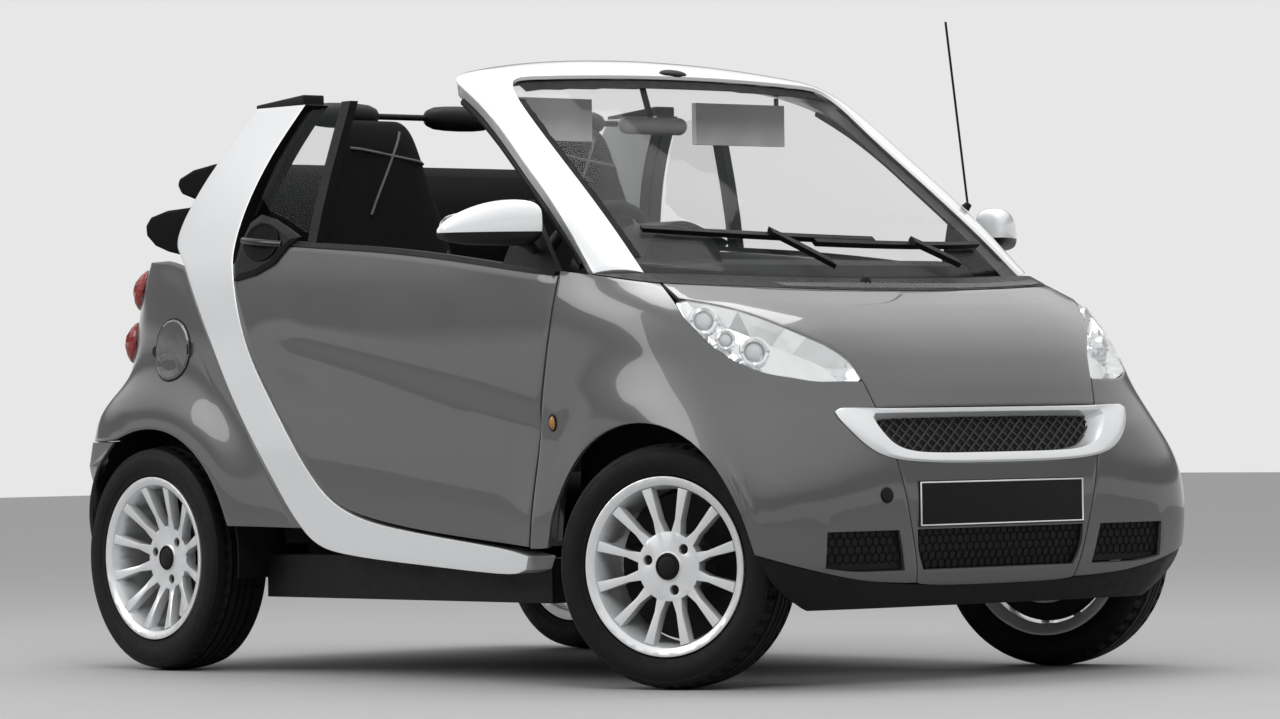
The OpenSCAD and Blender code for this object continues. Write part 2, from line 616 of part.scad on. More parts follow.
// Ring whose first and last sections are the same
module closed_ring(outer, inner) {
  nu = len(outer) - 1;
  nv = len(outer[0]);
  ring = [for (i = [0 : nu - 1]) concat(outer[i], [for (j = [nv - 1 : -1 : 0]) inner[i][j]])];
  w = 2 * nv;
  points = [for (r = ring) each r];
  faces = [for (i = [0 : nu - 1], j = [0 : w - 1])
    let (k = (i + 1) % nu, l = (j + 1) % w, a = i * w + j, b = k * w + j, c = k * w + l, d = i * w + l)
    each [[a, b, c], [a, c, d]]];
  solid(points, faces);
}

// Meshes in the grille and the three lower intakes
mesh_t = 4;
mesh_gap = 2;
module mesh_patch(ys, zs, depth) {
  function spot(y, z, d) = let (q = nose_in(nose_a_y(abs(y), z), z, d))
    [q[0], y > 0 ? -abs(q[1]) : abs(q[1]), q[2]];
  outer = [for (y = ys) [for (z = zs) spot(y, z, depth)]];
  inner = [for (y = ys) [for (z = zs) spot(y, z, depth + mesh_t)]];
  shell(outer, inner);
}
module grille_mesh() {
  color(black) {
    mesh_patch([for (i = [-12 : 12]) i * 30], [528, 555, 582, 609, 634], ring_depth + seat_gap);
    mesh_patch([for (i = [-4 : 4]) i * 70], [248, 312, 372], skin_t + mesh_gap);
    for (s = [-1, 1]) mesh_patch([for (y = [310, 400, 480, 546]) s * y], [268.5, 312, 372],
      skin_t + mesh_gap);
  }
}

// Headlamp between wing and bonnet: lens on the skin, bowl behind it
LAMP_LOW = concat(
  [for (y = [382, 440, 490]) [nose_a_y(y, lamp_low), lamp_low]],
  [for (c = CORNER) [nose_a_x(front_axle_x + c[1], c[2]), c[2]]],
  [for (i = [0 : tip_row]) [nose_a_x(front_axle_x + WING[i][1], WING[i][2]), WING[i][2]]]
);
LAMP_TOP = [for (z = [709, 728, 750, 768, 788, 808, 830, 852, 872, 888, 897])
  let (i = row_at(BONNET, z), y = mix(BONNET[i][1], BONNET[i + 1][1], (z - BONNET[i][0])
    / (BONNET[i + 1][0] - BONNET[i][0])))
  [nose_a_y(y, z), z]];
// rim is the depth along the outline, deep the depth inside it
module lamp_shell(rim, deep, t, inset) {
  vs = [0, 0.2, 0.5, 0.8, 1];
  n = len(LAMP_LOW) - 1;
  function at(i, v) = mix(LAMP_LOW[i] + [0, inset], LAMP_TOP[i] + [0, -inset], v);
  function depth(i, v) = i == 0 || i == n || v == 0 || v == 1 ? rim : deep;
  outer = [for (i = [0 : n]) [for (v = vs) let (q = at(i, v)) nose_in(q[0], q[1], depth(i, v))]];
  inner = [for (i = [0 : n]) [for (v = vs) let (q = at(i, v)) nose_in(q[0], q[1], depth(i, v) + t)]];
  shell(outer, inner);
}
lens_sink = 0.5;
lens_t = 4;
lens_back = lens_sink + lens_t + eps;
bowl_t = 5;
bowl_depth = 42;
lamp_inset = 0.8;
bowl_inset = 0.6;
module headlamp_lenses() { color(glass) both_sides() lamp_shell(lens_sink, lens_sink, lens_t, lamp_inset); }
module headlamp_bowls() { color(silver) both_sides() lamp_shell(lens_back, bowl_depth, bowl_t, bowl_inset); }

// Rear quarter, column by column from the cell to the tailgate:
// kind of foot (0 on the cell, 1 arch angle, 2 bumper line), its value, and the top edge as x or y
bumper_top = 585;
quarter_top = 1046;
gate_half = 500;
QUARTER = [
  [0, 0.00,  -902], [0, 0.5, -925], [1, 14.5, -950], [1, 32, -972], [1, 50, -994], [1, 68, -1016],
  [1, 86, -1040], [1, 104, -1065], [1, 116.5, -1090], [2, -1190, -1112], [2, -1250, -1135]
];
quarter_foot = 366;
// Stations of the cell between which the quarter meets it
QUARTER_US = [14 / 3, 9];
quarter_rows = 13;
QUARTER_ENDS = [[0.33, 604], [0.66, 552], [1, 500]];
function quarter_column(k, inset) =
  let (
    tail = k >= len(QUARTER),
    e = tail ? QUARTER_ENDS[k - len(QUARTER)] : [0, 0],
    q = tail ? QUARTER[len(QUARTER) - 1] : QUARTER[k],
    seam_p = cell_rear_off(QUARTER_US[0], -inset),
    arch_p = [rear_arch[0] + arch_r * cos(QUARTER[2][1]), quarter_foot],
    foot = tail ? [0, bumper_top + inset]
      : q[0] == 0 ? mix(seam_p, arch_p, q[1] * 1.1)
      : q[0] == 1 ? [rear_arch[0] + arch_r * cos(q[1]), rear_arch[1] + arch_r * sin(q[1])]
      : [q[1], bumper_top + inset],
    last_a = tail_a_x(q[1], bumper_top),
    gate_a = tail_a_y(gate_half + inset, bumper_top),
    a0 = tail ? mix(last_a, gate_a, e[0]) : tail_a_x(foot[0], foot[1]),
    z1 = quarter_top,
    a1 = tail ? tail_a_y(e[1] + (e[0] == 1 ? inset : 0), z1) : tail_a_x(q[2], z1)
  )
  [for (j = [0 : quarter_rows]) let (f = j / quarter_rows, z = mix(foot[1], z1, f))
    k == 0 ? let (p = cell_rear_off(mix(QUARTER_US[0], QUARTER_US[1], f), -inset))
      [tail_a_x(p[0], p[1]), p[1]]
    : e[0] == 1 ? [tail_a_y(gate_half + inset, z), z] : [mix(a0, a1, q[0] == 1 ? f * f : f), z]];
module quarter_side() {
  n = len(QUARTER) + len(QUARTER_ENDS) - 1;
  function column(k, inset) =
    k == 1 ? mix(quarter_column(0, inset), quarter_column(2, inset), 0.5) : quarter_column(k, inset);
  outer = [for (k = [0 : n]) [for (p = column(k, seam / 2)) tail_pt(p[0], p[1])]];
  inner = [for (k = [0 : n]) [for (p = column(k, seat_gap / 2)) tail_in(p[0], p[1], skin_t)]];
  shell(outer, inner);
}
module rear_quarters() { color(grey) both_sides() quarter_side(); }

// Rear bumper from arch to arch under the quarters and the tailgate
bumper_foot = 285;
module rear_bumper() {
  // angles round the tail, from the arch to the middle
  zs = [bumper_foot, 340, 400, 460, 520, bumper_top];
  fs = [for (i = [-9 : 9]) i / 9];
  function arch_x(z) = rear_arch[0] - sqrt(max(0, arch_r * arch_r - (z - rear_arch[1]) * (z - rear_arch[1])));
  function at(f, z) = [mix(0.0001, tail_a_x(arch_x(z), z), abs(f)), z, sign(f)];
  function side(p, s) = [p[0], s > 0 ? p[1] : -p[1], p[2]];
  function dip(z, inset) = z == bumper_top ? z - inset : z;
  outer = [for (f = fs) [for (z = zs) let (q = at(f, dip(z, seam / 2))) side(tail_pt(q[0], q[1]), q[2])]];
  inner = [for (f = fs) [for (z = zs) let (q = at(f, dip(z, seat_gap / 2)))
    side(tail_in(q[0], q[1], skin_t), q[2])]];
  color(grey) shell(outer, inner);
}
// Tailgate, which drops down on pins at its foot
gate_top = 1010;
gate_t = 34;
gate_foot = bumper_top + door_gap;
// Pins of the tailgate: distance from its foot and from its outer face, places across, width of their notch
gate_pin_z = gate_foot + 40;
gate_pin_x = tail_pt(0, gate_pin_z)[0] + 14;
gate_pin_ys = [-300, 300];
gate_notch_w = 32;
gate_eye_r = 8;
gate_eye_w = 22;
module tailgate() {
  fs = [for (i = [-6 : 6]) i / 6];
  zs = [for (j = [0 : 7]) mix(gate_foot, gate_top, j / 7)];
  function side(p, s) = [p[0], s > 0 ? p[1] : -p[1], p[2]];
  function at(f, z) = [tail_a_y(max(abs(f), 0.001) * (gate_half - door_gap), z), z, sign(f)];
  outer = [for (f = fs) [for (z = zs) let (q = at(f, z)) side(tail_pt(q[0], q[1]), q[2])]];
  inner = [for (f = fs) [for (z = zs) let (q = at(f, z)) side(tail_in(q[0], q[1], gate_t), q[2])]];
  color(grey) {
    difference() {
      shell(outer, inner);
      for (y = gate_pin_ys)
        box([gate_pin_x - gate_eye_r - 3, y - gate_notch_w / 2, gate_foot - 10],
            [gate_pin_x + 60, y + gate_notch_w / 2, gate_pin_z + gate_eye_r + 5]);
    }
    for (y = gate_pin_ys) translate([gate_pin_x, 0, gate_pin_z])
      along_y(y - gate_notch_w / 2 - 2, y + gate_notch_w / 2 + 2, pin_r);
  }
}

// Round piece lying on the tail's surface, with a crowned face
module tail_disc(a, z, r, edge, crown, seat) {
  c = tail_pt(a, z);
  n = tail_n(a, z);
  t = unit(cross([0, 0, 1], n));
  b = cross(n, t);
  m = 20;
  function on_skin(p, d) = let (q = atan2(-p[1], tail_c - p[0])) tail_in(q, p[2], -d);
  function spot(f, ang, d) = on_skin(c + r * f * (cos(ang) * t + sin(ang) * b), d);
  function high(f) = edge + crown * (1 - f * f);
  points = concat(
    [for (i = [0 : m - 1]) spot(1, 360 * i / m, seat)],
    [for (f = [1, 0.93, 0.7, 0.35], i = [0 : m - 1])
    spot(f, 360 * i / m, high(f) - (f == 1 ? edge * 0.5 : 0))],
    [spot(0, 0, high(0)), spot(0, 0, edge * 0.6)]
  );
  top = 5 * m;
  faces = [for (i = [0 : m - 1]) let (j = (i + 1) % m) each concat(
    [for (k = [0 : 3]) each [[k * m + i, k * m + j, (k + 1) * m + j],
    [k * m + i, (k + 1) * m + j, (k + 1) * m + i]]],
    [[4 * m + i, 4 * m + j, top], [j, i, top + 1]]
  )];
  solid(points, faces);
}
lamp_r = 54;
lamp_crown = 26;
// Height of each lamp, its distance across, and how far its rim stands off the smooth surface
LAMPS = [[840, 655, 1.3], [975, 640, 1.6]];
module tail_lamps() {
  color([0.6, 0.15, 0.15]) both_sides() for (l = LAMPS)
    tail_disc(tail_a_y(l[1], l[0]), l[0], lamp_r, 6, lamp_crown, l[2]);
}
flap_at = [-904, 817];
flap_pin_r = 3.5;
flap_pin_len = 36;
flap_pin_off = 0.5;
// Hinge of the flap, just off the skin at its front edge
flap_pin_x = flap_at[0] + flap_r;
flap_pin_z = flap_at[1] - flap_pin_len / 2;
flap_pin_y = tail_pt(tail_a_x(flap_pin_x, flap_pin_z), flap_pin_z)[1] - flap_pin_r - flap_pin_off;
flap_pin = [flap_pin_x, flap_pin_y, flap_at[1]];
module fuel_flap() {
  color(grey) {
    tail_disc(tail_a_x(flap_at[0], flap_at[1]), flap_at[1], flap_r, 5, 1, 2.3);
    translate(flap_pin - [0, 0, flap_pin_len / 2]) cylinder(r = flap_pin_r, h = flap_pin_len);
  }
}

// Windscreen frame, from the right foot over the pillar to the middle of the header:
// edge at the glass x, y, z, then outer edge x, y, z
FRAME = [
  [800, 617,  964, 715, 700,  964],
  [690, 602, 1060, 622, 686, 1060],
  [571, 585, 1155, 510, 665, 1158],
  [460, 570, 1240, 400, 648, 1243],
  [340, 553, 1332, 290, 628, 1330],
  [240, 538, 1415, 165, 608, 1408],
  [192, 500, 1455,  55, 578, 1460],
  [198, 420, 1463,  22, 480, 1486],
  [208, 280, 1468,  12, 320, 1508],
  [217, 140, 1471,  10, 160, 1519],
  [221,   0, 1472,  10,   0, 1523]
];
header_lift = header_h - FRAME[10][5];
frame_t = 40;
lip_t = 10;
FRAME_ROWS = [for (i = [0 : 10]) let (r = FRAME[i], up = header_lift * ease((r[5] - 964) / 540))
  concat([i], r + [0, 0, up, 0, 0, up])];
function frame_pt(u, f) =
  let (g = [for (c = [1 : 3]) curve(FRAME_ROWS, u, c)], o = [for (c = [4 : 6]) curve(FRAME_ROWS, u, c)])
  mix(g, o, f);
function right(p) = [p[0], -p[1], p[2]];
function frame_n(u) =
  let (a = frame_pt(u, 0), b = frame_pt(u, 1), c = frame_pt(min(u + 0.1, 10), 0.5)
    - frame_pt(max(u - 0.1, 0), 0.5))
  unit(cross(b - a, c));
frame_crown = 13;
module windscreen_frame() {
  us = [for (i = [0 : 20]) i / 2];
  fs = [0, 0.2, 0.5, 0.8, 1];
  function crown(f) = frame_crown * 4 * f * (1 - f);
  function at(u, f, d) = frame_pt(u, f) - d * frame_n(u);
  half_out = [for (u = us) [for (f = fs) at(u, f, -crown(f))]];
  half_in = [for (u = us) [for (f = fs) at(u, f, f < 0.3 ? lip_t : frame_t)]];
  function whole(h) = concat([for (r = h) [for (p = r) right(p)]], [for (i = [19 : -1 : 0]) h[i]]);
  color(silver) shell(whole(half_out), whole(half_in));
}
// Windscreen under the lip of the frame, bowed forwards at the foot
screen_t = 6;
screen_ends = [0.3, 6.2];
foot_mid = [926, 0, 954];
screen_bow = [13, 0, 11];
function under_lip(u, d) = frame_pt(u, 0.06) - (lip_t + 3 * eps + d) * frame_n(u);
function sided(p, s) = [p[0], s < 0 ? -p[1] : p[1], p[2]];
function screen_side(s, t, d) = sided(under_lip(mix(screen_ends[0], screen_ends[1], t), d), s);
function screen_head(s, d) = sided(under_lip(mix(10, screen_ends[1], abs(s)), d), s);
function screen_foot(s, d) =
  let (e = screen_side(s, 0, d)) [mix(foot_mid[0] - 0.6 * d, e[0], s * s), abs(s) * e[1],
    mix(foot_mid[2] - 0.8 * d, e[2], s * s)];
// Patch between the two sides, the head and the foot; s runs across from -1 to 1, t up from 0 to 1
function screen_pt(s, t, d) =
  let (
    f = (s + 1) / 2,
    ruled = mix(screen_foot(s, d), screen_head(s, d), t)
      + mix(screen_side(-1, t, d), screen_side(1, t, d), f),
    corners = mix(
      mix(screen_side(-1, 0, d), screen_side(1, 0, d), f),
        mix(screen_side(-1, 1, d), screen_side(1, 1, d), f), t
    )
  ) ruled - corners + screen_bow * sin(180 * t) * (1 - s * s);
module windscreen() {
  ss = [for (i = [-6 : 6]) i / 6];
  ts = [for (j = [0 : 7]) j / 7];
  outer = [for (s = ss) [for (t = ts) screen_pt(s, t, 0)]];
  inner = [for (s = ss) [for (t = ts) screen_pt(s, t, screen_t)]];
  color(glass) shell(outer, inner);
}
// Black cowl between bonnet and windscreen, and along the wings:
// distance across of the front edge, then the rear edge x, y, z
COWL = [
  [0, 932, 0, 948], [175, 918, 175, 950], [350, 882, 350, 954], [520, 838, 510, 960],
  [cowl_half, 812, 600, 962]
];
// rear edge x, y, z and share of the thickness beside the rows of WING from the second cowl row on
COWL_SIDE = [[806, 640, 962, 1], [764, 684, 962, 0.6], [724, 702, 962.6, 0.2]];
cowl_t = 9;
module cowl_panel() {
  function front(y, lift, d) = let (z = cowl_z(y / cowl_half) + lift) nose_in(nose_a_y(y, z), z, d);
  function flank(i, lift, d) =
    let (r = WING[cowl_row + i], z = r[2] + lift)
      nose_in(nose_a_x(front_axle_x + r[1], z), z, d * COWL_SIDE[i - 1][3]);
  function edge(lift, d) = concat(
    [for (c = COWL) front(c[0], lift, d)], [for (i = [1 : len(COWL_SIDE)]) flank(i, lift, d)]
  );
  back = concat([for (c = COWL) [c[1], -c[2], c[3]]], [for (c = COWL_SIDE) right(c)]);
  fs = [0, 0.35, 0.7, 1];
  n = len(back) - 1;
  function share(i) = i < len(COWL) ? 1 : COWL_SIDE[i - len(COWL)][3];
  function half(e, d) = [for (i = [n : -1 : 0])
    [for (f = fs) f == 0 ? e[i] : mix(e[i], back[i] - [0, 0, d * share(i)], f)]];
  function whole(h) = concat(h, [for (i = [1 : n]) [for (p = h[n - i]) right(p)]]);
  color(black) shell(whole(half(edge(cowl_seam, 0), 0)), whole(half(edge(seat_gap / 4, cowl_t), cowl_t)));
}

// Folded sheet seen from the side: toe board, floor, rear bulkhead and boot floor
tub_t = 24;
tub_half = 600;
bulkhead_top = 905;
boot_z = 672;
TUB = [
  [582, bulkhead_top - tub_t / 2], [548, 430], [470, 222], [-470, 222], [-560, 400], [-600, boot_z],
  [-1225, boot_z]
];
module thick_line(pts, t) {
  for (i = [0 : len(pts) - 2]) hull_bar(pts[i], pts[i + 1], t);
}
module hull_bar(a, b, t) {
  d = unit(b - a);
  n = [-d[1], d[0]] * t / 2;
  polygon([a + n, a - n, b - n, b + n]);
  for (p = [a, b]) translate(p) circle(d = t, $fn = 24);
}
module across(half) { rotate([90, 0, 0]) linear_extrude(2 * half, center = true) children(); }
module box(lo, hi) { translate(lo) cube(hi - lo); }
rail_y = [270, 350];
rail_z = [330, 420];
toe_x = 530;
post_top = (frame_pt(0, 1) - frame_t * frame_n(0))[2] - eps;
boot_wall_top = 950;
sill_rear = -622;
beam_x = [1215, 1255];
beam_half = 470;
strut_top = 815;
king_offset = 105;
king_y = front_track / 2 - king_offset;
function bumper_back(y, z) = nose_in(nose_a_y(y, z), z, skin_t)[0];
module floor_tub() {
  color(black) {
    across(tub_half) thick_line(TUB, tub_t);
    // sills under the side cells, inside the doors
    for (s = [-1, 1]) {
      sill_y = s > 0 ? [tub_half - 40, cell_in - eps] : [-cell_in + eps, -tub_half + 40];
      box([sill_rear, sill_y[0], 190], [500, sill_y[1], 296]);
      // post ahead of the door, with the hinge pins
      post_y = s > 0 ? [tub_half - 30, 690] : [-690, -tub_half + 30];
      box([hinge_x + 18, post_y[0], 556], [hinge_x + 70, post_y[1], post_top]);
      box([560, s > 0 ? tub_half - 30 : -tub_half - 10, 560],
        [hinge_x + 20, s > 0 ? tub_half + 10 : -tub_half + 30, 900]);
      for (z = hinge_zs) {
        box([hinge_x - 8, s > 0 ? 690 - 5 : -hinge_y - 8, z - 16],
          [hinge_x + 60, s > 0 ? hinge_y + 8 : -690 + 5, z - 1]);
        translate([hinge_x, s * hinge_y, z - 10]) cylinder(r = pin_r, h = hinge_h + 8);
      }
      // rail to the front beam and turret over the strut
      rail = s > 0 ? rail_y : [-rail_y[1], -rail_y[0]];
      box([toe_x, rail[0], rail_z[0]], [beam_x[1], rail[1], rail_z[1]]);
      turret = s > 0 ? [rail_y[0] + 20, king_y + 55] : [-king_y - 55, -rail_y[0] - 20];
      box([front_axle_x - 55, turret[0], strut_top], [front_axle_x + 55, turret[1], strut_top + 18]);
      box([front_axle_x - 55, s > 0 ? rail_y[0] + 20 : -rail_y[0] - 40, 400],
          [front_axle_x + 55, s > 0 ? rail_y[0] + 40 : -rail_y[0] - 20, strut_top + 10]);
      // side of the boot, behind the tower
      wall = s > 0 ? [tub_half - 70, cell_in - eps] : [-cell_in + eps, -tub_half + 70];
      box([-905, wall[0], boot_z - 10], [-720, wall[1], boot_wall_top]);
    }
    // top of the bulkhead under the cowl
    box([570, -640, bulkhead_top - 25], [700, 640, bulkhead_top]);
    // beam behind the front bumper, with two pads
    box([beam_x[0], -beam_half, 400], [beam_x[1], beam_half, 470]);
    for (s = [-1, 1])
      box([beam_x[1] - 5, s * 150 - 20, 405], [bumper_back(172, 405) - seat_gap, s * 150 + 20, 450]);
    // beam behind the rear bumper, with two pads and its arms
    box([-1265, -520, 420], [-1225, 520, 500]);
    for (s = [-1, 1]) {
      box([-tail_len(460) + tail_c + skin_t + seat_gap + 3, s * 150 - 20, 430], [-1260, s * 150 + 20, 480]);
      box([-1230, s * 420 - 25, 420], [-1200, s * 420 + 25, 680]);
    }
    // brackets with the eyes for the tailgate's pins
    for (y = gate_pin_ys) {
      difference() {
        union() {
          translate([gate_pin_x, 0, gate_pin_z]) along_y(y - gate_eye_w / 2, y + gate_eye_w / 2, gate_eye_r);
          box([gate_pin_x, y - gate_eye_w / 2, gate_pin_z - 7], [-1215, y + gate_eye_w / 2, gate_pin_z + 7]);
        }
        translate([gate_pin_x, 0, gate_pin_z]) along_y(y - gate_eye_w, y + gate_eye_w, pin_r + pin_fit);
      }
      box([-1235, y - gate_eye_w / 2, gate_pin_z - 7], [-1215, y + gate_eye_w / 2, boot_z]);
    }
  }
}
engine_size = [420, 520, 240];
module engine_block() {
  color(metal) translate([rear_axle_x - 20 - engine_size[0] / 2, -engine_size[1] / 2,
    boot_z - tub_t / 2 - eps - engine_size[2]])
    cube(engine_size);
}
// Tube, flanges and spindles that carry the rear wheels
hub_r = 28;
hub_fit = 0.06;
drum_r = 100;
module along_y(y0, y1, r) { translate([0, min(y0, y1), 0]) rotate([-90, 0, 0])
  cylinder(r = r, h = abs(y1 - y0)); }
// How far the spindles reach into the rims' hubs, and the depth of the hubs
spindle_in = 16;
hub_depth = 30;
front_dish = 12;
rear_dish = 38;
// Rim flange and hub face, from the middle of the wheel
flange_in = 18;
function rim_h(w) = w / 2 - flange_in;
function hub_back(w, dish) = rim_h(w) - dish - hub_depth;
module rear_axle() {
  y = rear_track / 2;
  color(metal) translate([rear_axle_x, 0, rear_r]) {
    along_y(-y + 90, y - 90, 32);
    for (s = [-1, 1]) {
      along_y(s * (y - 100), s * (y - 40), drum_r);
      along_y(s * (y - 45), s * (y + hub_back(rear_tyre_w, rear_dish) + spindle_in), hub_r);
      translate([-40, s * 430 - 25, 0]) cube([80, 50, boot_z - tub_t / 2 - eps - rear_r]);
    }
  }
}
// Lower arms and struts of the front wheels
arm_z = 190;
arm_y = rail_y[1] * 0.9;
arm_t = 22;
WISHBONE = [[-120, arm_y], [90, arm_y], [0, king_y]];
wishbone_mid = [-10, mix(arm_y, king_y, 1 / 3)];
strut_foot = 360;
spring_foot = 470;
module wishbone() {
  linear_extrude(arm_t) difference() {
    hull() for (p = WISHBONE) translate(p) circle(r = 23, $fn = 32);
    hull() for (p = WISHBONE) translate(mix(wishbone_mid, p, 0.5)) circle(r = 6, $fn = 16);
  }
  for (i = [0, 1]) translate([WISHBONE[i][0], arm_y, arm_t / 2])
    cylinder(r = 18, h = rail_z[0] - arm_z - arm_t / 2 - eps);
  translate([0, king_y, arm_t / 2]) cylinder(r = 10, h = 41);
}
module front_axle() {
  color(metal) both_sides() translate([front_axle_x, 0, 0]) {
    mirror([0, 1, 0]) translate([0, 0, arm_z]) wishbone();
    translate([0, -king_y, strut_foot]) cylinder(r = 14, h = strut_top - strut_foot - eps);
    translate([0, -king_y, spring_foot]) cylinder(r = 24, h = strut_top - spring_foot - eps);
  }
}
// Parts that turn with the steering, drawn for a wheel pointing straight ahead
module steered(s) {
  translate([front_axle_x, s * king_y, front_r]) rotate([0, 0, steer_park]) children();
}
disc_r = 128;
disc_t = 12;
disc_in = king_offset - 68;
hat_r = 72;
boss_r = 44;
boss_end = king_offset - 30;
run_gap = 5;
jaw_t = 15;
front_hub = king_offset + hub_back(front_tyre_w, front_dish);
module knuckle(s) {
  caliper_x = -disc_r - run_gap - 14;
  jaw_in = disc_in - run_gap - jaw_t;
  module slab(x, y, z, size) { translate([x, s > 0 ? y : -y - size[1], z]) cube(size); }
  color(metal) steered(s) difference() {
    union() {
      translate([0, 0, arm_z + 26 - front_r]) cylinder(r = 26, h = 240);
      along_y(0, s * boss_end, boss_r);
      along_y(s * 20, s * (front_hub + spindle_in), hub_r);
      // steering arm, brake caliper and its bracket
      slab(-110, -32, -40, [110, 24, 24]);
      slab(caliper_x, jaw_in, -45, [-hat_r - 8 - caliper_x, disc_t + 2 * (run_gap + jaw_t), 90]);
      slab(-90, jaw_in, -20, [90, jaw_t, 40]);
    }
    translate([0, 0, arm_z - front_r]) cylinder(r = 10 + hub_fit, h = 62);
    translate([0, 0, 355 - front_r]) cylinder(r = 14 + hub_fit, h = 200);
    slab(-disc_r - run_gap, disc_in - run_gap, -60, [disc_r - hat_r + run_gap, disc_t + 2 * run_gap, 120]);
  }
}
module front_disc(s) {
  color(metal) steered(s) difference() {
    union() {
      along_y(s * disc_in, s * (disc_in + disc_t), disc_r);
      along_y(s * disc_in, s * (front_hub - eps), hat_r);
    }
    along_y(s * (disc_in - 10), s * (boss_end + run_gap), boss_r + 3);
    along_y(0, s * (front_hub + 10), hub_r + hub_fit);
  }
}
// Tyre and rim, drawn on their own axis with the outer side at positive height
bead_r = 194;
module tyre(d, w) {
  r = d / 2;
  h = w / 2;
  rotate_extrude($fn = 72) polygon([
    [bead_r + eps, -h + 18], [rim_d / 2 + eps, -h + 18], [rim_d / 2 + 4, -h + 6], [r - 48, -h],
    [r - 22, -h + 3],
    [r - 7, -h + 12], [r, -h + 26], [r, h - 26], [r - 7, h - 12], [r - 22, h - 3], [r - 48, h],
    [rim_d / 2 + 4, h - 6], [rim_d / 2 + eps, h - 18], [bead_r + eps, h - 18]
  ]);
}
// Half width of a spoke by distance from the hub
SPOKE = [[66, 14], [110, 7.5], [bead_r - 10, 12]];
hub_disc_r = 80;
module rim(w, dish) {
  h = rim_h(w);
  face = h - dish;
  difference() {
    union() {
      rotate_extrude($fn = 96) polygon([
        [rim_d / 2 - 29, -h], [rim_d / 2 - eps, -h - 8], [rim_d / 2 - eps, -h + eps - 2], [bead_r, -h],
        [bead_r, -h + 30],
        [bead_r - 9, -h + 42], [bead_r - 9, h - 42], [bead_r, h - 30], [bead_r, h], [rim_d / 2 - eps, h + 2],
        [rim_d / 2 - eps, h + 10], [rim_d / 2 - 6, h + 11], [rim_d / 2 - 20, h + 4], [rim_d / 2 - 29, h - 20]
      ]);
      translate([0, 0, face - hub_depth]) cylinder(r = hub_disc_r, h = hub_depth);
      translate([0, 0, face - 1]) cylinder(r1 = 36, r2 = 31, h = 5);
      for (i = [0 : spoke_count - 1]) rotate([0, 0, 360 / spoke_count * (i + 0.5)]) intersection() {
        rotate([90, 0, 0]) linear_extrude(40, center = true) polygon([
          [hub_disc_r - 14, face - 2], [bead_r - 10, h + 2], [bead_r - 10, h - 24],
          [hub_disc_r - 14, face - hub_depth]
        ]);
        translate([0, 0, face - 60]) linear_extrude(120)
          polygon(concat(SPOKE, [for (i = [len(SPOKE) - 1 : -1 : 0]) [SPOKE[i][0], -SPOKE[i][1]]]));
      }
    }
    for (i = [0 : 2]) rotate([0, 0, 45 + 120 * i]) translate([bolt_circle / 2, 0, face - 40])
      cylinder(r = bolt_hole_r, h = 60);
    translate([0, 0, face - hub_depth - 10]) cylinder(r = hub_r + hub_fit, h = spindle_in + 12);
  }
}
// Stands a wheel drawn flat upright, with its outer side away from the middle of the car
module upright(s) { rotate([s > 0 ? -90 : 90, 0, 0]) rotate([0, 0, s > 0 ? 180 : 0]) children(); }
module front_place(s) { steered(s) translate([0, s * king_offset, 0]) upright(s) children(); }
module rear_place(s) { translate([rear_axle_x, s * rear_track / 2, rear_r]) upright(s) children(); }
module front_tyre(s) { color(rubber) front_place(s) tyre(front_tyre_d, front_tyre_w); }
module rear_tyre(s) { color(rubber) rear_place(s) tyre(rear_tyre_d, rear_tyre_w); }
module front_rim(s) { color(silver) front_place(s) rim(front_tyre_w, front_dish); }
module rear_rim(s) { color(silver) rear_place(s) rim(rear_tyre_w, rear_dish); }

// Dashboard on the bulkhead, with the column for the steering wheel
column_at = [290, -seat_y, 985];
column_tilt = 62;
column_len = 205;
dash_half = 560;
dash_z = bulkhead_top + eps;
DASH = [
  [690, dash_z], [564, dash_z], [545, 760], [510, 640], [470, 660], [440, 800], [430, 890], [470, 965],
  [560, 1006],
  [660, 990], [700, 955]
];
module dashboard() {
  color(black) {
    across(dash_half) polygon(DASH);
    // hood over the dials
    difference() {
      translate([455, -seat_y, 965]) rotate([0, 90, 0]) cylinder(r = 130, h = 150);
      box([400, -seat_y - 200, 700], [700, -seat_y + 200, 960]);
    }
    translate(column_at) rotate([0, -column_tilt, 0]) translate([0, 0, -column_len])
      cylinder(r = 30, h = column_len - eps);
  }
}
module steering_wheel() {
  color(black) translate(column_at) rotate([0, -column_tilt, 0]) {
    rotate_extrude($fn = 64) translate([wheel_d / 2 - 15, 15]) circle(r = 15, $fn = 24);
    cylinder(r = 62, h = 34);
    for (a = [0, 120, 240]) rotate([0, 0, a]) translate([20, -16, 6]) cube([wheel_d / 2 - 36, 32, 16]);
  }
}
// Seats, each a cushion and a back with its headrest in one shape
// Back, from its foot up: height, front x, rear x, half width
SEAT_BACK = [
  [435.1, -332, -480, 196], [620, -375, -520, 214], [800, -420, -556, 218], [960, -460, -586, 208],
  [1090, -487, -608, 190],
  [1190, -507, -624, 162], [1270, -519, -634, 138], [1340, -533, -640, 122], [1380, -552, -630, 104],
  [1396, -574, -612, 76]
];
seat_edge = 34;
floor_top = TUB[3][1] + tub_t / 2 + eps;
SEAT_BASE = [
  [60, 360], [110, 420], [95, 490], [0, 500], [-200, 462], [-345, 432], [-480, 428], [-470, 300],
  [-440, floor_top], [20, floor_top]
];
function seat_section(b) =
  let (e = min(seat_edge, (b[1] - b[2]) / 3), h = b[3] - e) [
    [b[1], -h, b[0]], [b[1], h, b[0]], [b[1] - e, b[3], b[0]], [b[2] + e, b[3], b[0]],
    [b[2], h, b[0]], [b[2], -h, b[0]], [b[2] + e, -b[3], b[0]], [b[1] - e, -b[3], b[0]]
  ];
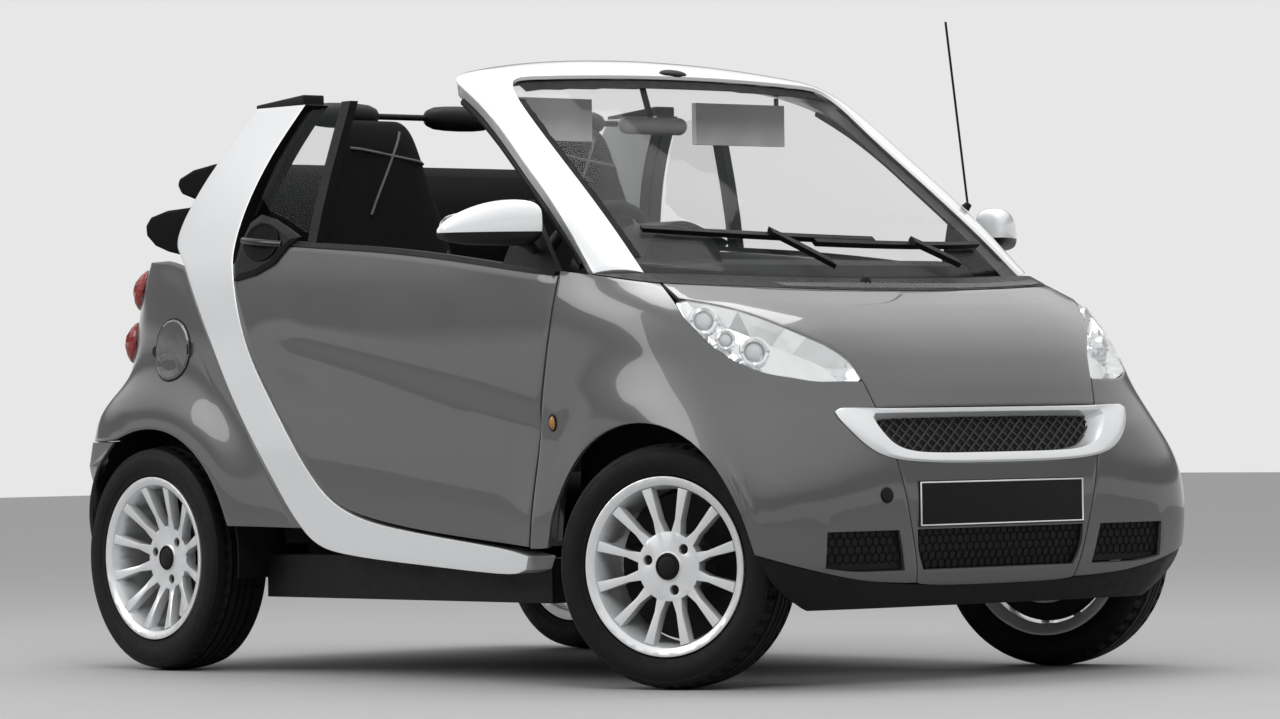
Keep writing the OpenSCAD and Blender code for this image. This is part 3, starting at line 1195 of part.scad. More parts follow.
module seats() {
  color(black) for (s = [-1, 1]) translate([0, s * seat_y, 0]) {
    across(seat_w / 2) polygon(SEAT_BASE);
    loft([for (b = SEAT_BACK) seat_section(b)]);
  }
}
// Folded soft top behind the towers, and the bar between the tower tops
stack_z = boot_wall_top + eps;
STACK = [
  [-700, stack_z], [-700, 1090], [-745, 1200], [-800, 1268], [-880, 1296], [-971, 1298], [-1060, 1287],
  [-1118, 1268],
  [-1128, 1250], [-1108, 1224], [-1045, 1206], [-1080, 1190], [-1180, 1186], [-1250, 1172], [-1274, 1150],
  [-1270, 1122],
  [-1232, 1094], [-1180, 1078], [-1115, 1066], [-1080, 1030], [-1000, stack_z]
];
stack_half = 560;
module soft_top_stack() { color(black) across(stack_half) polygon(STACK); }
roof_bar_r = 8;
roof_bar_at = [-655, tower_h - 13];
roof_bar_half = cell_inner_y(roof_bar_at[1] + roof_bar_r) - 2 * eps;
module roof_bar() {
  color(black) translate([roof_bar_at[0], 0, roof_bar_at[1]])
    along_y(-roof_bar_half, roof_bar_half, roof_bar_r);
}
// Two wipers resting along the foot of the windscreen: pivot across, then blade ends across
WIPERS = [[0.52, -0.18, 0.86], [-0.20, -0.88, 0.14]];
blade_t = 0.1;
module wiper(w, t) {
  mid = (w[1] + w[2]) / 2;
  steps = [for (i = [0 : 8]) i / 8];
  function strip(s0, t0, s1, t1, wide, d) =
    [for (f = steps) let (s = mix(s0, s1, f), t = mix(t0, t1, f))
      [screen_pt(s, t - wide, d), screen_pt(s, t + wide, d)]];
  shell(strip(w[1], t + 0.02, w[2], t, 0.007, -14), strip(w[1], t + 0.02, w[2], t, 0.007, -0.6));
  shell(strip(w[0], 0.02, mid, t + 0.01, 0.012, -26), strip(w[0], 0.02, mid, t + 0.01, 0.012, -13));
}
module wipers() { color(black) for (i = [0, 1]) wiper(WIPERS[i], blade_t + 0.03 * i); }

// Turns the height axis to a direction
module towards(v) { rotate([0, acos(v[2] / norm(v)), atan2(v[1], v[0])]) children(); }
antenna_u = 1.7;
antenna_len = 470;
antenna_lean = [-0.15, 0, 1];
module antenna() {
  foot = frame_pt(antenna_u, 0.5) + (frame_crown + eps) * frame_n(antenna_u);
  color(black) translate(foot) {
    towards(frame_n(antenna_u)) cylinder(r1 = 12, r2 = 8, h = 16);
    translate(10 * frame_n(antenna_u)) towards(antenna_lean) cylinder(r = 3, h = antenna_len);
  }
}
// Inner mirror and sun visors under the header
visor_size = [16, 300, 105];
function header_under(u, f) = frame_pt(u, f) - (frame_t + eps) * frame_n(u);
module header_fittings() {
  hang = header_under(10, 0.6);
  color(black) {
    translate([hang[0] + 40, 0, hang[2] - 110]) hull() {
      translate([0, -85, 0]) sphere(r = 22, $fn = 16);
      translate([0, 85, 0]) sphere(r = 22, $fn = 16);
    }
    translate(hang - [0, 0, 4]) towards([40, 0, -107]) cylinder(r = 8, h = 110);
    for (s = [-1, 1]) {
      arm = header_under(7, 0.6);
      translate([arm[0], s * arm[1], arm[2] - 60]) cylinder(r = 6, h = 58.5);
      translate([arm[0] - visor_size[0] / 2, s > 0 ? arm[1] - visor_size[1] + 20 : -arm[1] - 20,
        arm[2] - 20 - visor_size[2]])
        cube(visor_size);
    }
  }
}
floor_tub();
cell_sides();
windscreen_frame();
windscreen();
cowl_panel();
bonnet();
front_wings();
bumper_centre();
front_apron();
grille_surround();
grille_mesh();
headlamp_bowls();
headlamp_lenses();
rear_quarters();
tail_lamps();
rear_bumper();
soft_top_stack();
roof_bar();
dashboard();
seats();
wipers();
antenna();
engine_block();
front_axle();
rear_axle();
header_fittings();
door_panel();  // door_right
door_fittings();  // door_right_fittings
quarter_glass();  // door_right_glass
mirror_unit();  // mirror_right
mirror([0, 1, 0]) door_panel();  // door_left
mirror([0, 1, 0]) door_fittings();  // door_left_fittings
mirror([0, 1, 0]) quarter_glass();  // door_left_glass
mirror([0, 1, 0]) mirror_unit();  // mirror_left
tailgate();
fuel_flap();
steering_wheel();
knuckle(-1);  // knuckle_right
knuckle(1);  // knuckle_left
front_tyre(-1);  // tyre_front_right
front_rim(-1);  // rim_front_right
front_disc(-1);  // disc_front_right
front_tyre(1);  // tyre_front_left
front_rim(1);  // rim_front_left
front_disc(1);  // disc_front_left
rear_tyre(-1);  // tyre_rear_right
rear_rim(-1);  // rim_rear_right
rear_tyre(1);  // tyre_rear_left
rear_rim(1);  // rim_rear_left
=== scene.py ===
"""Looks of a small open city car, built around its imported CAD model."""

import json
import math

import bpy
from mathutils import Matrix, Vector
from mathutils.bvhtree import BVHTree

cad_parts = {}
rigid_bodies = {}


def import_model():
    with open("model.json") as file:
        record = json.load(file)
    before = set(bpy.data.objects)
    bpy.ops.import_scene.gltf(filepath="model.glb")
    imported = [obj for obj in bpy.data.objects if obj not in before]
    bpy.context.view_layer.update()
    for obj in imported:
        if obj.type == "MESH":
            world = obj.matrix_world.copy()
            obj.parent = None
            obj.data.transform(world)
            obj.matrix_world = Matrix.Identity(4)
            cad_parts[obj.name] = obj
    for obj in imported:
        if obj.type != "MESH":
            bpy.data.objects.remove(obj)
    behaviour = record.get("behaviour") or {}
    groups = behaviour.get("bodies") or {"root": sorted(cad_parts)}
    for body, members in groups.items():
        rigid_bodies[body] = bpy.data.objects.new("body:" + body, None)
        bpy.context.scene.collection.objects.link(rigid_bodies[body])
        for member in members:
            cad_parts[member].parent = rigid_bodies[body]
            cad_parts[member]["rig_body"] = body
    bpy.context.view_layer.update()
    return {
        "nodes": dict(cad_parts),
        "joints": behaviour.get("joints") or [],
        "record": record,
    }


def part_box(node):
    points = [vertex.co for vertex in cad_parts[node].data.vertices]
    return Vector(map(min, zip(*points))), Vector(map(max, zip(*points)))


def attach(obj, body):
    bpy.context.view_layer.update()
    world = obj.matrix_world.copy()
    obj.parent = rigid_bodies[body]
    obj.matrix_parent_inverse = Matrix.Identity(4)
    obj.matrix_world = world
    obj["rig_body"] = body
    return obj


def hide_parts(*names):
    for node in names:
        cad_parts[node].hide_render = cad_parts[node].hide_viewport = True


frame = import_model()

bl_info = {
    "name": "City car",
    "version": (1, 0, 0),
    "blender": (4, 5, 0),
    "location": "View3D > Sidebar > City car",
    "description": "Dresses the packed model of an open city car",
    "category": "Object",
}

SIDES = {"right": -1, "left": 1}
# Places on the CAD model in metres, as x and z
REAR_AXLE = (-0.9615, 0.2865)
FLAP = (-0.904, 0.817)
HANDLE = (-0.540, 1.080)
# Radii, heights and distances from the middle of the car, in metres
ARCH_R = 0.341
FLAP_SEAM_R = 0.0795
BOLT_CIRCLE_R = 0.056
SEAT_MIDDLE = 0.326
TOWER_TOP = 1.428
MIRROR_SEAM = 1.066
# Where the rear arches' liners start, in degrees from level, and how far they go round
ARCH_START, ARCH_SWEEP = -8, 180
# Front and rear wheels: tyre width, tyre radius and how far the rim's face lies inside its edge
WHEELS = {"front": (0.155, 0.2835, 0.012), "rear": (0.175, 0.2865, 0.038)}
# The camera's place in metres, and its heading, pitch and roll in degrees
CAMERA_PLACE = (10.4508, -8.9116, 0.6278)
CAMERA_TURNS = (49.3765, -0.6018, -0.8924)
# Faces round a tyre, with a notch in every second one
TYRE_STEPS = 96
# The panels' edges that turn by more than this many degrees stay sharp
SHARP = 38


class CarColours(bpy.types.PropertyGroup):
    """Colours of the car's finishes."""

    panel_paint: bpy.props.FloatVectorProperty(
        name="Panel paint", description="Lacquer of the bonnet, wings, doors and quarters",
        subtype="COLOR", size=3, min=0, max=1, default=(0.085, 0.086, 0.089))
    cell_paint: bpy.props.FloatVectorProperty(
        name="Cell paint", description="Lacquer of the side cell, screen frame, mirror caps and grille ring",
        subtype="COLOR", size=3, min=0, max=1, default=(0.70, 0.71, 0.72))
    plastic: bpy.props.FloatVectorProperty(
        name="Black plastic", description="Cowl, apron, sills and trim",
        subtype="COLOR", size=3, min=0, max=1, default=(0.0035, 0.0035, 0.0037))
    rubber: bpy.props.FloatVectorProperty(
        name="Rubber", description="Tyres and seals",
        subtype="COLOR", size=3, min=0, max=1, default=(0.0032, 0.0032, 0.0032))
    cloth: bpy.props.FloatVectorProperty(
        name="Cloth", description="Folded roof and seats",
        subtype="COLOR", size=3, min=0, max=1, default=(0.0030, 0.0030, 0.0032))
    alloy: bpy.props.FloatVectorProperty(
        name="Alloy", description="Wheel rims",
        subtype="COLOR", size=3, min=0, max=1, default=(0.72, 0.73, 0.74))
    floor: bpy.props.FloatVectorProperty(
        name="Floor", description="Studio floor and backdrop",
        subtype="COLOR", size=3, min=0, max=1, default=(0.30, 0.30, 0.30))


class CarSizes(bpy.types.PropertyGroup):
    """Sizes of the details that are added to the model."""

    edge_round: bpy.props.FloatProperty(
        name="Edge rounding", description="Rounding of the panels' edges",
        unit="LENGTH", default=0.0009, min=0.0002, max=0.003, precision=4)
    camera_lens: bpy.props.FloatProperty(
        name="Lens", description="Focal length of the camera on a 36 mm frame",
        unit="CAMERA", default=153.73, min=20, max=400)


def colours():
    """The scene's colour settings."""
    return bpy.context.scene.car_colours


def sizes():
    """The scene's size settings."""
    return bpy.context.scene.car_sizes


# Finishes


def new_material(name):
    """A material with its shader and an object-space coordinate output."""
    material = bpy.data.materials.new(name)
    material.use_nodes = True
    tree = material.node_tree
    shader = tree.nodes["Principled BSDF"]
    place = tree.nodes.new("ShaderNodeTexCoord")
    return material, tree, shader, place.outputs["Object"]


def noise(tree, place, scale, detail=3.0, rough=0.5):
    """A noise texture on object coordinates."""
    node = tree.nodes.new("ShaderNodeTexNoise")
    node.inputs["Scale"].default_value = scale
    node.inputs["Detail"].default_value = detail
    node.inputs["Roughness"].default_value = rough
    tree.links.new(place, node.inputs["Vector"])
    return node.outputs["Fac"]


def spread(tree, value, low, high):
    """Stretches the middle of a noise value to the range from low to high."""
    node = tree.nodes.new("ShaderNodeMapRange")
    node.inputs["From Min"].default_value = 0.3
    node.inputs["From Max"].default_value = 0.7
    node.inputs["To Min"].default_value = low
    node.inputs["To Max"].default_value = high
    tree.links.new(value, node.inputs["Value"])
    return node.outputs["Result"]


def tint(tree, shader, value, colour, low, high):
    """Varies the base colour between low and high times itself."""
    node = tree.nodes.new("ShaderNodeMix")
    node.data_type = "RGBA"
    node.inputs["A"].default_value = (*[c * low for c in colour], 1)
    node.inputs["B"].default_value = (*[min(1, c * high) for c in colour], 1)
    tree.links.new(value, node.inputs["Factor"])
    tree.links.new(node.outputs["Result"], shader.inputs["Base Color"])


def relief(tree, shader, value, strength, distance):
    """Raises the surface by a value."""
    node = tree.nodes.new("ShaderNodeBump")
    node.inputs["Strength"].default_value = strength
    node.inputs["Distance"].default_value = distance
    tree.links.new(value, node.inputs["Height"])
    tree.links.new(node.outputs["Normal"], shader.inputs["Normal"])


def lacquer(name, colour, metallic, flake):
    """Car paint: fine flakes under a clear coat with a faint ripple."""
    material, tree, shader, place = new_material(name)
    tint(tree, shader, noise(tree, place, 1400, 1), colour, 1 - flake, 1 + flake)
    shader.inputs["Metallic"].default_value = metallic
    shader.inputs["Coat Weight"].default_value = 1.0
    shader.inputs["Coat Roughness"].default_value = 0.03
    tree.links.new(spread(tree, noise(tree, place, 6), 0.30, 0.38), shader.inputs["Roughness"])
    relief(tree, shader, noise(tree, place, 90, 1), 0.05, 0.0002)
    return material


def grained(name, colour, rough, grain, depth, scale=700, shine=0.22):
    """Moulded plastic, rubber or leather with a fine grain."""
    material, tree, shader, place = new_material(name)
    shader.inputs["Specular IOR Level"].default_value = shine
    tint(tree, shader, noise(tree, place, 14), colour, 0.8, 1.25)
    tree.links.new(spread(tree, noise(tree, place, 40), rough - 0.06, rough + 0.08), shader.inputs["Roughness"])
    relief(tree, shader, noise(tree, place, scale, 2, 0.6), grain, depth)
    return material


def metal(name, colour, rough, grain=0.1, scale=300):
    """Bare or painted metal with slight wear."""
    material, tree, shader, place = new_material(name)
    tint(tree, shader, noise(tree, place, 20, 5), colour, 0.86, 1.06)
    shader.inputs["Metallic"].default_value = 1.0
    tree.links.new(spread(tree, noise(tree, place, 35), rough - 0.05, rough + 0.07), shader.inputs["Roughness"])
    relief(tree, shader, noise(tree, place, scale, 2), grain, 0.0004)
    return material


def glazing(name, colour, alpha):
    """Thin window glass: mostly clear, with a mirror-like face."""
    material, tree, shader, place = new_material(name)
    shader.inputs["Base Color"].default_value = (*colour, 1)
    shader.inputs["Alpha"].default_value = alpha
    shader.inputs["IOR"].default_value = 1.5
    shader.inputs["Specular IOR Level"].default_value = 0.6
    tree.links.new(spread(tree, noise(tree, place, 5), 0, 0.02), shader.inputs["Roughness"])
    relief(tree, shader, noise(tree, place, 3, 1), 0.02, 0.002)
    return material


def two_tone(name, upper, lower, height):
    """Lacquer above a height and moulded plastic below it."""
    material, tree, shader, place = new_material(name)
    split = tree.nodes.new("ShaderNodeSeparateXYZ")
    tree.links.new(place, split.inputs["Vector"])
    over = tree.nodes.new("ShaderNodeMath")
    over.operation = "GREATER_THAN"
    over.inputs[1].default_value = height
    tree.links.new(split.outputs["Z"], over.inputs[0])
    blend = tree.nodes.new("ShaderNodeMix")
    blend.data_type = "RGBA"
    blend.inputs["A"].default_value = (*lower, 1)
    blend.inputs["B"].default_value = (*upper, 1)
    tree.links.new(over.outputs["Value"], blend.inputs["Factor"])
    tree.links.new(blend.outputs["Result"], shader.inputs["Base Color"])
    tree.links.new(over.outputs["Value"], shader.inputs["Coat Weight"])
    shader.inputs["Specular IOR Level"].default_value = 0.3
    tree.links.new(spread(tree, noise(tree, place, 6), 0.34, 0.42), shader.inputs["Roughness"])
    relief(tree, shader, noise(tree, place, 600, 1), 0.05, 0.0003)
    return material


def woven(name, colour, scale, depth):
    """Cloth with two crossing rows of yarn."""
    material, tree, shader, place = new_material(name)
    bands = []
    for direction in ("X", "Z"):
        node = tree.nodes.new("ShaderNodeTexWave")
        node.bands_direction = direction
        node.inputs["Scale"].default_value = scale
        node.inputs["Distortion"].default_value = 1.5
        node.inputs["Detail"].default_value = 1.0
        tree.links.new(place, node.inputs["Vector"])
        bands.append(node.outputs["Fac"])
    cross = tree.nodes.new("ShaderNodeMath")
    cross.operation = "MULTIPLY"
    tree.links.new(bands[0], cross.inputs[0])
    tree.links.new(bands[1], cross.inputs[1])
    tint(tree, shader, noise(tree, place, 25, 4), colour, 0.75, 1.4)
    shader.inputs["Roughness"].default_value = 0.9
    shader.inputs["Specular IOR Level"].default_value = 0.12
    shader.inputs["Sheen Weight"].default_value = 0.01
    relief(tree, shader, cross.outputs["Value"], 0.5, depth)
    return material


def make_finishes():
    """Every finish of the car, by the record's slot names and a few of the scene's own."""
    c = colours()
    return {
        "grey_paint": lacquer("grey_paint", c.panel_paint, 0.35, 0.12),
        "silver_paint": lacquer("silver_paint", c.cell_paint, 0.35, 0.05),
        "black_plastic": grained("black_plastic", c.plastic, 0.48, 0.25, 0.0006),
        "dash_plastic": grained("dash_plastic", (0.010, 0.010, 0.0105), 0.55, 0.3, 0.0006),
        "clear_glass": glazing("clear_glass", (0.03, 0.035, 0.035), 0.10),
        "lamp_glass": glazing("lamp_glass", (0.9, 0.92, 0.92), 0.10),
        "lamp_silver": metal("lamp_silver", (0.85, 0.86, 0.87), 0.10, 0.02),
        "mirror_shell": two_tone("mirror_shell", c.cell_paint, c.plastic, MIRROR_SEAM),
        "visor_cloth": grained("visor_cloth", (0.85, 0.85, 0.86), 0.7, 0.2, 0.0005),
        "mirror_back": grained("mirror_back", (0.32, 0.32, 0.33), 0.4, 0.1, 0.0004),
        "deep_black": grained("deep_black", (0.003, 0.003, 0.003), 0.6, 0.2, 0.0004, 700, 0.1),
        "seam_thread": woven("seam_thread", (0.10, 0.10, 0.10), 600, 0.0004),
        "mirror_glass": metal("mirror_glass", (0.75, 0.76, 0.77), 0.06, 0.0),
        "gloss_black": grained("gloss_black", c.plastic, 0.18, 0.05, 0.0003, 500, 0.5),
        "trim_grey": grained("trim_grey", (0.022, 0.022, 0.022), 0.35, 0.1, 0.0003, 700, 0.5),
        "grid_grey": grained("grid_grey", (0.07, 0.07, 0.07), 0.4, 0.1, 0.0003, 700, 0.5),
        "bulb_glass": glazing("bulb_glass", (0.55, 0.57, 0.58), 0.75),
        "lamp_amber": grained("lamp_amber", (0.35, 0.16, 0.03), 0.12, 0.05, 0.0005, 200, 0.6),
        "lamp_red": grained("lamp_red", (0.20, 0.010, 0.010), 0.10, 0.05, 0.0005, 200, 0.6),
        "roof_fabric": woven("roof_fabric", c.cloth, 420, 0.0008),
        "seat_fabric": woven("seat_fabric", (0.0045, 0.0045, 0.005), 300, 0.001),
        "engine_metal": metal("engine_metal", (0.35, 0.35, 0.35), 0.45, 0.4),
        "axle_steel": metal("axle_steel", (0.02, 0.02, 0.021), 0.5, 0.3),
        "wheel_leather": grained("wheel_leather", (0.008, 0.008, 0.0085), 0.42, 0.35, 0.0008, 500),
        "tyre_rubber": grained("tyre_rubber", c.rubber, 0.62, 0.2, 0.0005),
        "rim_silver": lacquer("rim_silver", c.alloy, 0.55, 0.05),
        "brake_iron": metal("brake_iron", (0.42, 0.42, 0.43), 0.35, 0.2, 500),
    }


FINISH = {}


def paint(piece, finish):
    """Gives a piece one finish."""
    piece.data.materials.clear()
    piece.data.materials.append(FINISH[finish])


def node_slot(node):
    """The record's material slot of a CAD node."""
    rows = frame["record"]["subparts"]
    return next(row["material_slot"] for row in rows if row["node"] == node)


def node_body(node):
    """The body that a CAD node rides on."""
    return frame["nodes"][node]["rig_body"]


# Modelling steps


def deselect():
    """Leaves object mode's selection empty."""
    bpy.ops.object.select_all(action="DESELECT")


def pick(piece):
    """Makes a piece the only selected and the active one."""
    deselect()
    piece.select_set(True)
    bpy.context.view_layer.objects.active = piece


def copy_of(node, name):
    """A merged copy of a CAD node's mesh, with its triangles joined to quads."""
    piece = bpy.data.objects.new(name, frame["nodes"][node].data.copy())
    bpy.context.scene.collection.objects.link(piece)
    pick(piece)
    bpy.ops.object.mode_set(mode="EDIT")
    bpy.ops.mesh.select_all(action="SELECT")
    bpy.ops.mesh.remove_doubles(threshold=0.00001)
    bpy.ops.mesh.tris_convert_to_quads(face_threshold=math.radians(35), shape_threshold=math.radians(80))
    bpy.ops.object.mode_set(mode="OBJECT")
    return piece


def modify(piece, kind, **settings):
    """Adds a modifier and applies it."""
    pick(piece)
    modifier = piece.modifiers.new(kind.lower(), kind)
    for key, value in settings.items():
        setattr(modifier, key, value)
    bpy.ops.object.modifier_apply(modifier=modifier.name)


def crease_sharp(piece, degrees):
    """Creases the edges that turn by more than an angle."""
    pick(piece)
    bpy.ops.object.mode_set(mode="EDIT")
    bpy.ops.mesh.select_mode(type="EDGE")
    bpy.ops.mesh.select_all(action="DESELECT")
    bpy.ops.mesh.edges_select_sharp(sharpness=math.radians(degrees))
    bpy.ops.transform.edge_crease(value=1)
    bpy.ops.object.mode_set(mode="OBJECT")


def smooth(piece, degrees=35):
    """Smooth shading up to an angle."""
    pick(piece)
    bpy.ops.object.shade_smooth_by_angle(angle=math.radians(degrees))


def seat(piece, body, finish, *nodes):
    """Paints a piece, lets it ride on its body and hides the CAD nodes that it stands for."""
    paint(piece, finish)
    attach(piece, body)
    if nodes:
        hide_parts(*nodes)
    return piece


def panel(node):
    """A skin panel: the CAD node's mesh, subdivided between its sharp edges, with rounded rims."""
    piece = copy_of(node, node + "_skin")
    crease_sharp(piece, SHARP)
    modify(piece, "SUBSURF", levels=2, render_levels=2)
    modify(piece, "BEVEL", width=sizes().edge_round, segments=2, limit_method="ANGLE",
           angle_limit=math.radians(SHARP), use_clamp_overlap=True)
    smooth(piece)
    return seat(piece, node_body(node), node_slot(node), node)


def settle(piece, place):
    """Moves a piece to its place and leaves its own frame at the origin."""
    pick(piece)
    piece.matrix_world = place
    bpy.ops.object.transform_apply(location=True, rotation=True, scale=True)
    return piece


def aimed(spot, ahead, up=(0, 0, 1)):
    """A frame at a spot whose third axis points ahead and whose second one is nearest to up."""
    z = Vector(ahead).normalized()
    x = Vector(up).cross(z).normalized()
    turn = Matrix((x, z.cross(x), z)).transposed().to_4x4()
    return Matrix.Translation(spot) @ turn


def lathe(name, outline, steps, place=Matrix.Identity(4), angle=35):
    """A closed outline of radius and height, turned once round its axis."""
    deselect()
    bpy.ops.mesh.primitive_circle_add(vertices=len(outline), radius=1)
    piece = bpy.context.object
    piece.name = name
    for vertex, (radius, height) in zip(piece.data.vertices, outline):
        vertex.co = (radius, 0, height)
    bpy.ops.object.mode_set(mode="EDIT")
    bpy.ops.mesh.select_all(action="SELECT")
    bpy.ops.mesh.spin(steps=steps, angle=math.tau, center=(0, 0, 0), axis=(0, 0, 1))
    bpy.ops.mesh.select_all(action="SELECT")
    bpy.ops.mesh.remove_doubles(threshold=0.00002)
    bpy.ops.mesh.normals_make_consistent(inside=False)
    bpy.ops.object.mode_set(mode="OBJECT")
    settle(piece, place)
    smooth(piece, angle)
    return piece


def rods(name, paths, radius, closed=False, sides=2):
    """Round bars along rows of points, in one piece."""
    curve = bpy.data.curves.new(name, "CURVE")
    curve.dimensions = "3D"
    curve.bevel_depth = radius
    curve.bevel_resolution = sides
    curve.use_fill_caps = True
    for path in paths:
        spline = curve.splines.new("POLY")
        spline.points.add(len(path) - 1)
        for point, spot in zip(spline.points, path):
            point.co = (*spot, 1)
        spline.use_cyclic_u = closed
    piece = bpy.data.objects.new(name, curve)
    bpy.context.scene.collection.objects.link(piece)
    pick(piece)
    bpy.ops.object.convert(target="MESH")
    piece = bpy.context.object
    smooth(piece, 60)
    return piece


def block(name, size, place, edge):
    """A box with rounded edges."""
    deselect()
    bpy.ops.mesh.primitive_cube_add(size=1)
    piece = bpy.context.object
    piece.name = name
    piece.scale = size
    bpy.ops.object.transform_apply(location=False, rotation=False, scale=True)
    modify(piece, "BEVEL", width=edge, segments=3)
    settle(piece, place)
    smooth(piece)
    return piece


def sheet(name, columns, rows, spot, thick):
    """A grid whose points are placed by a rule, then thickened."""
    deselect()
    bpy.ops.mesh.primitive_grid_add(x_subdivisions=columns, y_subdivisions=rows, size=1)
    piece = bpy.context.object
    piece.name = name
    for vertex in piece.data.vertices:
        vertex.co = spot(vertex.co.x + 0.5, vertex.co.y + 0.5)
    modify(piece, "SOLIDIFY", thickness=thick, offset=0)
    smooth(piece, 50)
    return piece


def twin(model, name, place):
    """A copy of a model with its own mesh, settled at a place."""
    piece = bpy.data.objects.new(name, model.data.copy())
    bpy.context.scene.collection.objects.link(piece)
    return settle(piece, place)


def discard(*models):
    """Takes away models that were only there to be copied."""
    for model in models:
        mesh = model.data
        bpy.data.objects.remove(model)
        bpy.data.meshes.remove(mesh)


def joined(name, pieces):
    """Several pieces as one."""
    pick(pieces[0])
    for piece in pieces[1:]:
        piece.select_set(True)
    bpy.ops.object.join()
    pieces[0].name = name
    return pieces[0]


TREES = {}


def touch(nodes, start, ahead):
    """The first spot where a line meets the CAD nodes, with its normal and distance, or None."""
    best = None
    for node in nodes:
        if node not in TREES:
            mesh = frame["nodes"][node].data
            corners, faces = [v.co for v in mesh.vertices], [p.vertices for p in mesh.polygons]
            TREES[node] = BVHTree.FromPolygons(corners, faces)
        spot, normal, _, far = TREES[node].ray_cast(Vector(start), Vector(ahead))
        if spot and (best is None or far < best[2]):
            best = (spot, normal, far)
    return best


def edge_line(node, side, low, high, count, ahead):
    """A smooth line through the points of a CAD node that level lines along the car meet first."""
    line = []
    for i in range(count):
        z = low + (high - low) * i / (count - 1)
        starts = [(-1.5 * ahead, side * (0.42 + 0.006 * k), z) for k in range(60)]
        hits = [hit for hit in (touch([node], start, (ahead, 0, 0)) for start in starts) if hit]
        if hits:
            nearest = min(hit[2] for hit in hits)
            level = [hit[0] for hit in hits if hit[2] < nearest + 0.002]
            line.append(sum(level, Vector()) / len(level))
    for _ in range(2):
        line[1:-1] = [(line[i - 1] + 2 * line[i] + line[i + 1]) / 4 for i in range(1, len(line) - 1)]
    return line


# Operators, one for each group of pieces


class CAR_OT_stage(bpy.types.Operator):
    """Floor, backdrop, lamps and the camera"""

    bl_idname = "car.stage"
    bl_label = "Stage"

    def execute(self, context):
        deselect()
        bpy.ops.mesh.primitive_plane_add(size=60, location=(0, 0, 0))
        floor = context.object
        floor.name = "studio_floor"
        material, tree, shader, place = new_material("studio_floor")
        tint(tree, shader, noise(tree, place, 8, 6), colours().floor, 0.97, 1.03)
        shader.inputs["Roughness"].default_value = 0.7
        floor.data.materials.append(material)
        self.light_world(context.scene)
        self.add_lamps()
        self.add_camera(context.scene)
        context.scene.view_settings.view_transform = "Standard"
        return {"FINISHED"}

    def light_world(self, scene):
        """A sky that lights the car, and a backdrop, pale with a dark band above, that is seen and mirrored."""
        scene.world = scene.world or bpy.data.worlds.new("World")
        scene.world.use_nodes = True
        tree = scene.world.node_tree
        place = tree.nodes.new("ShaderNodeTexCoord")
        split = tree.nodes.new("ShaderNodeSeparateXYZ")
        tree.links.new(place.outputs["Generated"], split.inputs["Vector"])
        shown = ((0.0, 0.80), (0.08, 0.80), (0.11, 0.12), (0.19, 0.10), (0.27, 0.75), (0.45, 1.0), (0.9, 0.9))
        lit = ((0.0, 0.07), (0.16, 0.10), (0.26, 0.75), (0.45, 1.0), (0.9, 0.9))
        layers = []
        for levels, strength in ((lit, 1.05), (shown, 1.0)):
            ramp = tree.nodes.new("ShaderNodeValToRGB")
            tree.links.new(split.outputs["Z"], ramp.inputs["Fac"])
            stops = ramp.color_ramp.elements
            stops.remove(stops[1])
            for position, level in levels:
                stop = stops[0] if position == 0 else stops.new(position)
                stop.color = (level, level, level, 1)
            layer = tree.nodes.new("ShaderNodeBackground")
            layer.inputs["Strength"].default_value = strength
            tree.links.new(ramp.outputs["Color"], layer.inputs["Color"])
            layers.append(layer)
        path = tree.nodes.new("ShaderNodeLightPath")
        seen = path.outputs["Is Camera Ray"]
        for ray in ("Is Glossy Ray", "Is Transmission Ray"):
            either = tree.nodes.new("ShaderNodeMath")
            either.operation = "MAXIMUM"
            tree.links.new(seen, either.inputs[0])
            tree.links.new(path.outputs[ray], either.inputs[1])
            seen = either.outputs["Value"]
        blend = tree.nodes.new("ShaderNodeMixShader")
        tree.links.new(seen, blend.inputs["Fac"])
        tree.links.new(layers[0].outputs["Background"], blend.inputs[1])
        tree.links.new(layers[1].outputs["Background"], blend.inputs[2])
        tree.links.new(blend.outputs["Shader"], tree.nodes["World Output"].inputs["Surface"])

    def add_lamps(self):
        """Three soft boxes: over the front, where the paint doesn't mirror it, the right side and the top."""
        for name, place, aim, size, power in (
                ("key", (5.5, -3.0, 5.0), (0.4, 0, 0.6), 3.0, 200),
                ("fill", (-4.0, -7.0, 5.0), (-0.4, 0, 0.6), 5.0, 220),
                ("top", (-0.5, 0.5, 6.0), (0, 0, 0.6), 4.0, 200)):
            bpy.ops.object.light_add(type="AREA", location=place)
            lamp = bpy.context.object
            lamp.name = name
            lamp.data.size = size
            lamp.data.energy = power
            lamp.visible_glossy = name != "key"
            lamp.rotation_euler = (Vector(aim) - Vector(place)).to_track_quat("-Z", "Y").to_euler()

    def add_camera(self, scene):
        """The photograph's point of view, low at the right front corner."""
        azimuth, pitch, roll = (math.radians(a) for a in CAMERA_TURNS)
        flat = math.cos(pitch)
        ahead = Vector((-math.sin(azimuth) * flat, math.cos(azimuth) * flat, -math.sin(pitch)))
        right = Vector((math.cos(azimuth), math.sin(azimuth), 0))
        up = right.cross(ahead)
        right, up = (right * math.cos(roll) + up * math.sin(roll),
                     up * math.cos(roll) - right * math.sin(roll))
        bpy.ops.object.camera_add()
        camera = bpy.context.object
        camera.name = "camera"
        turn = Matrix((right, up, -ahead)).transposed().to_4x4()
        camera.matrix_world = Matrix.Translation(CAMERA_PLACE) @ turn
        camera.data.sensor_width = 36
        camera.data.sensor_fit = "HORIZONTAL"
        camera.data.lens = sizes().camera_lens
        camera.data.clip_end = 200
        scene.camera = camera


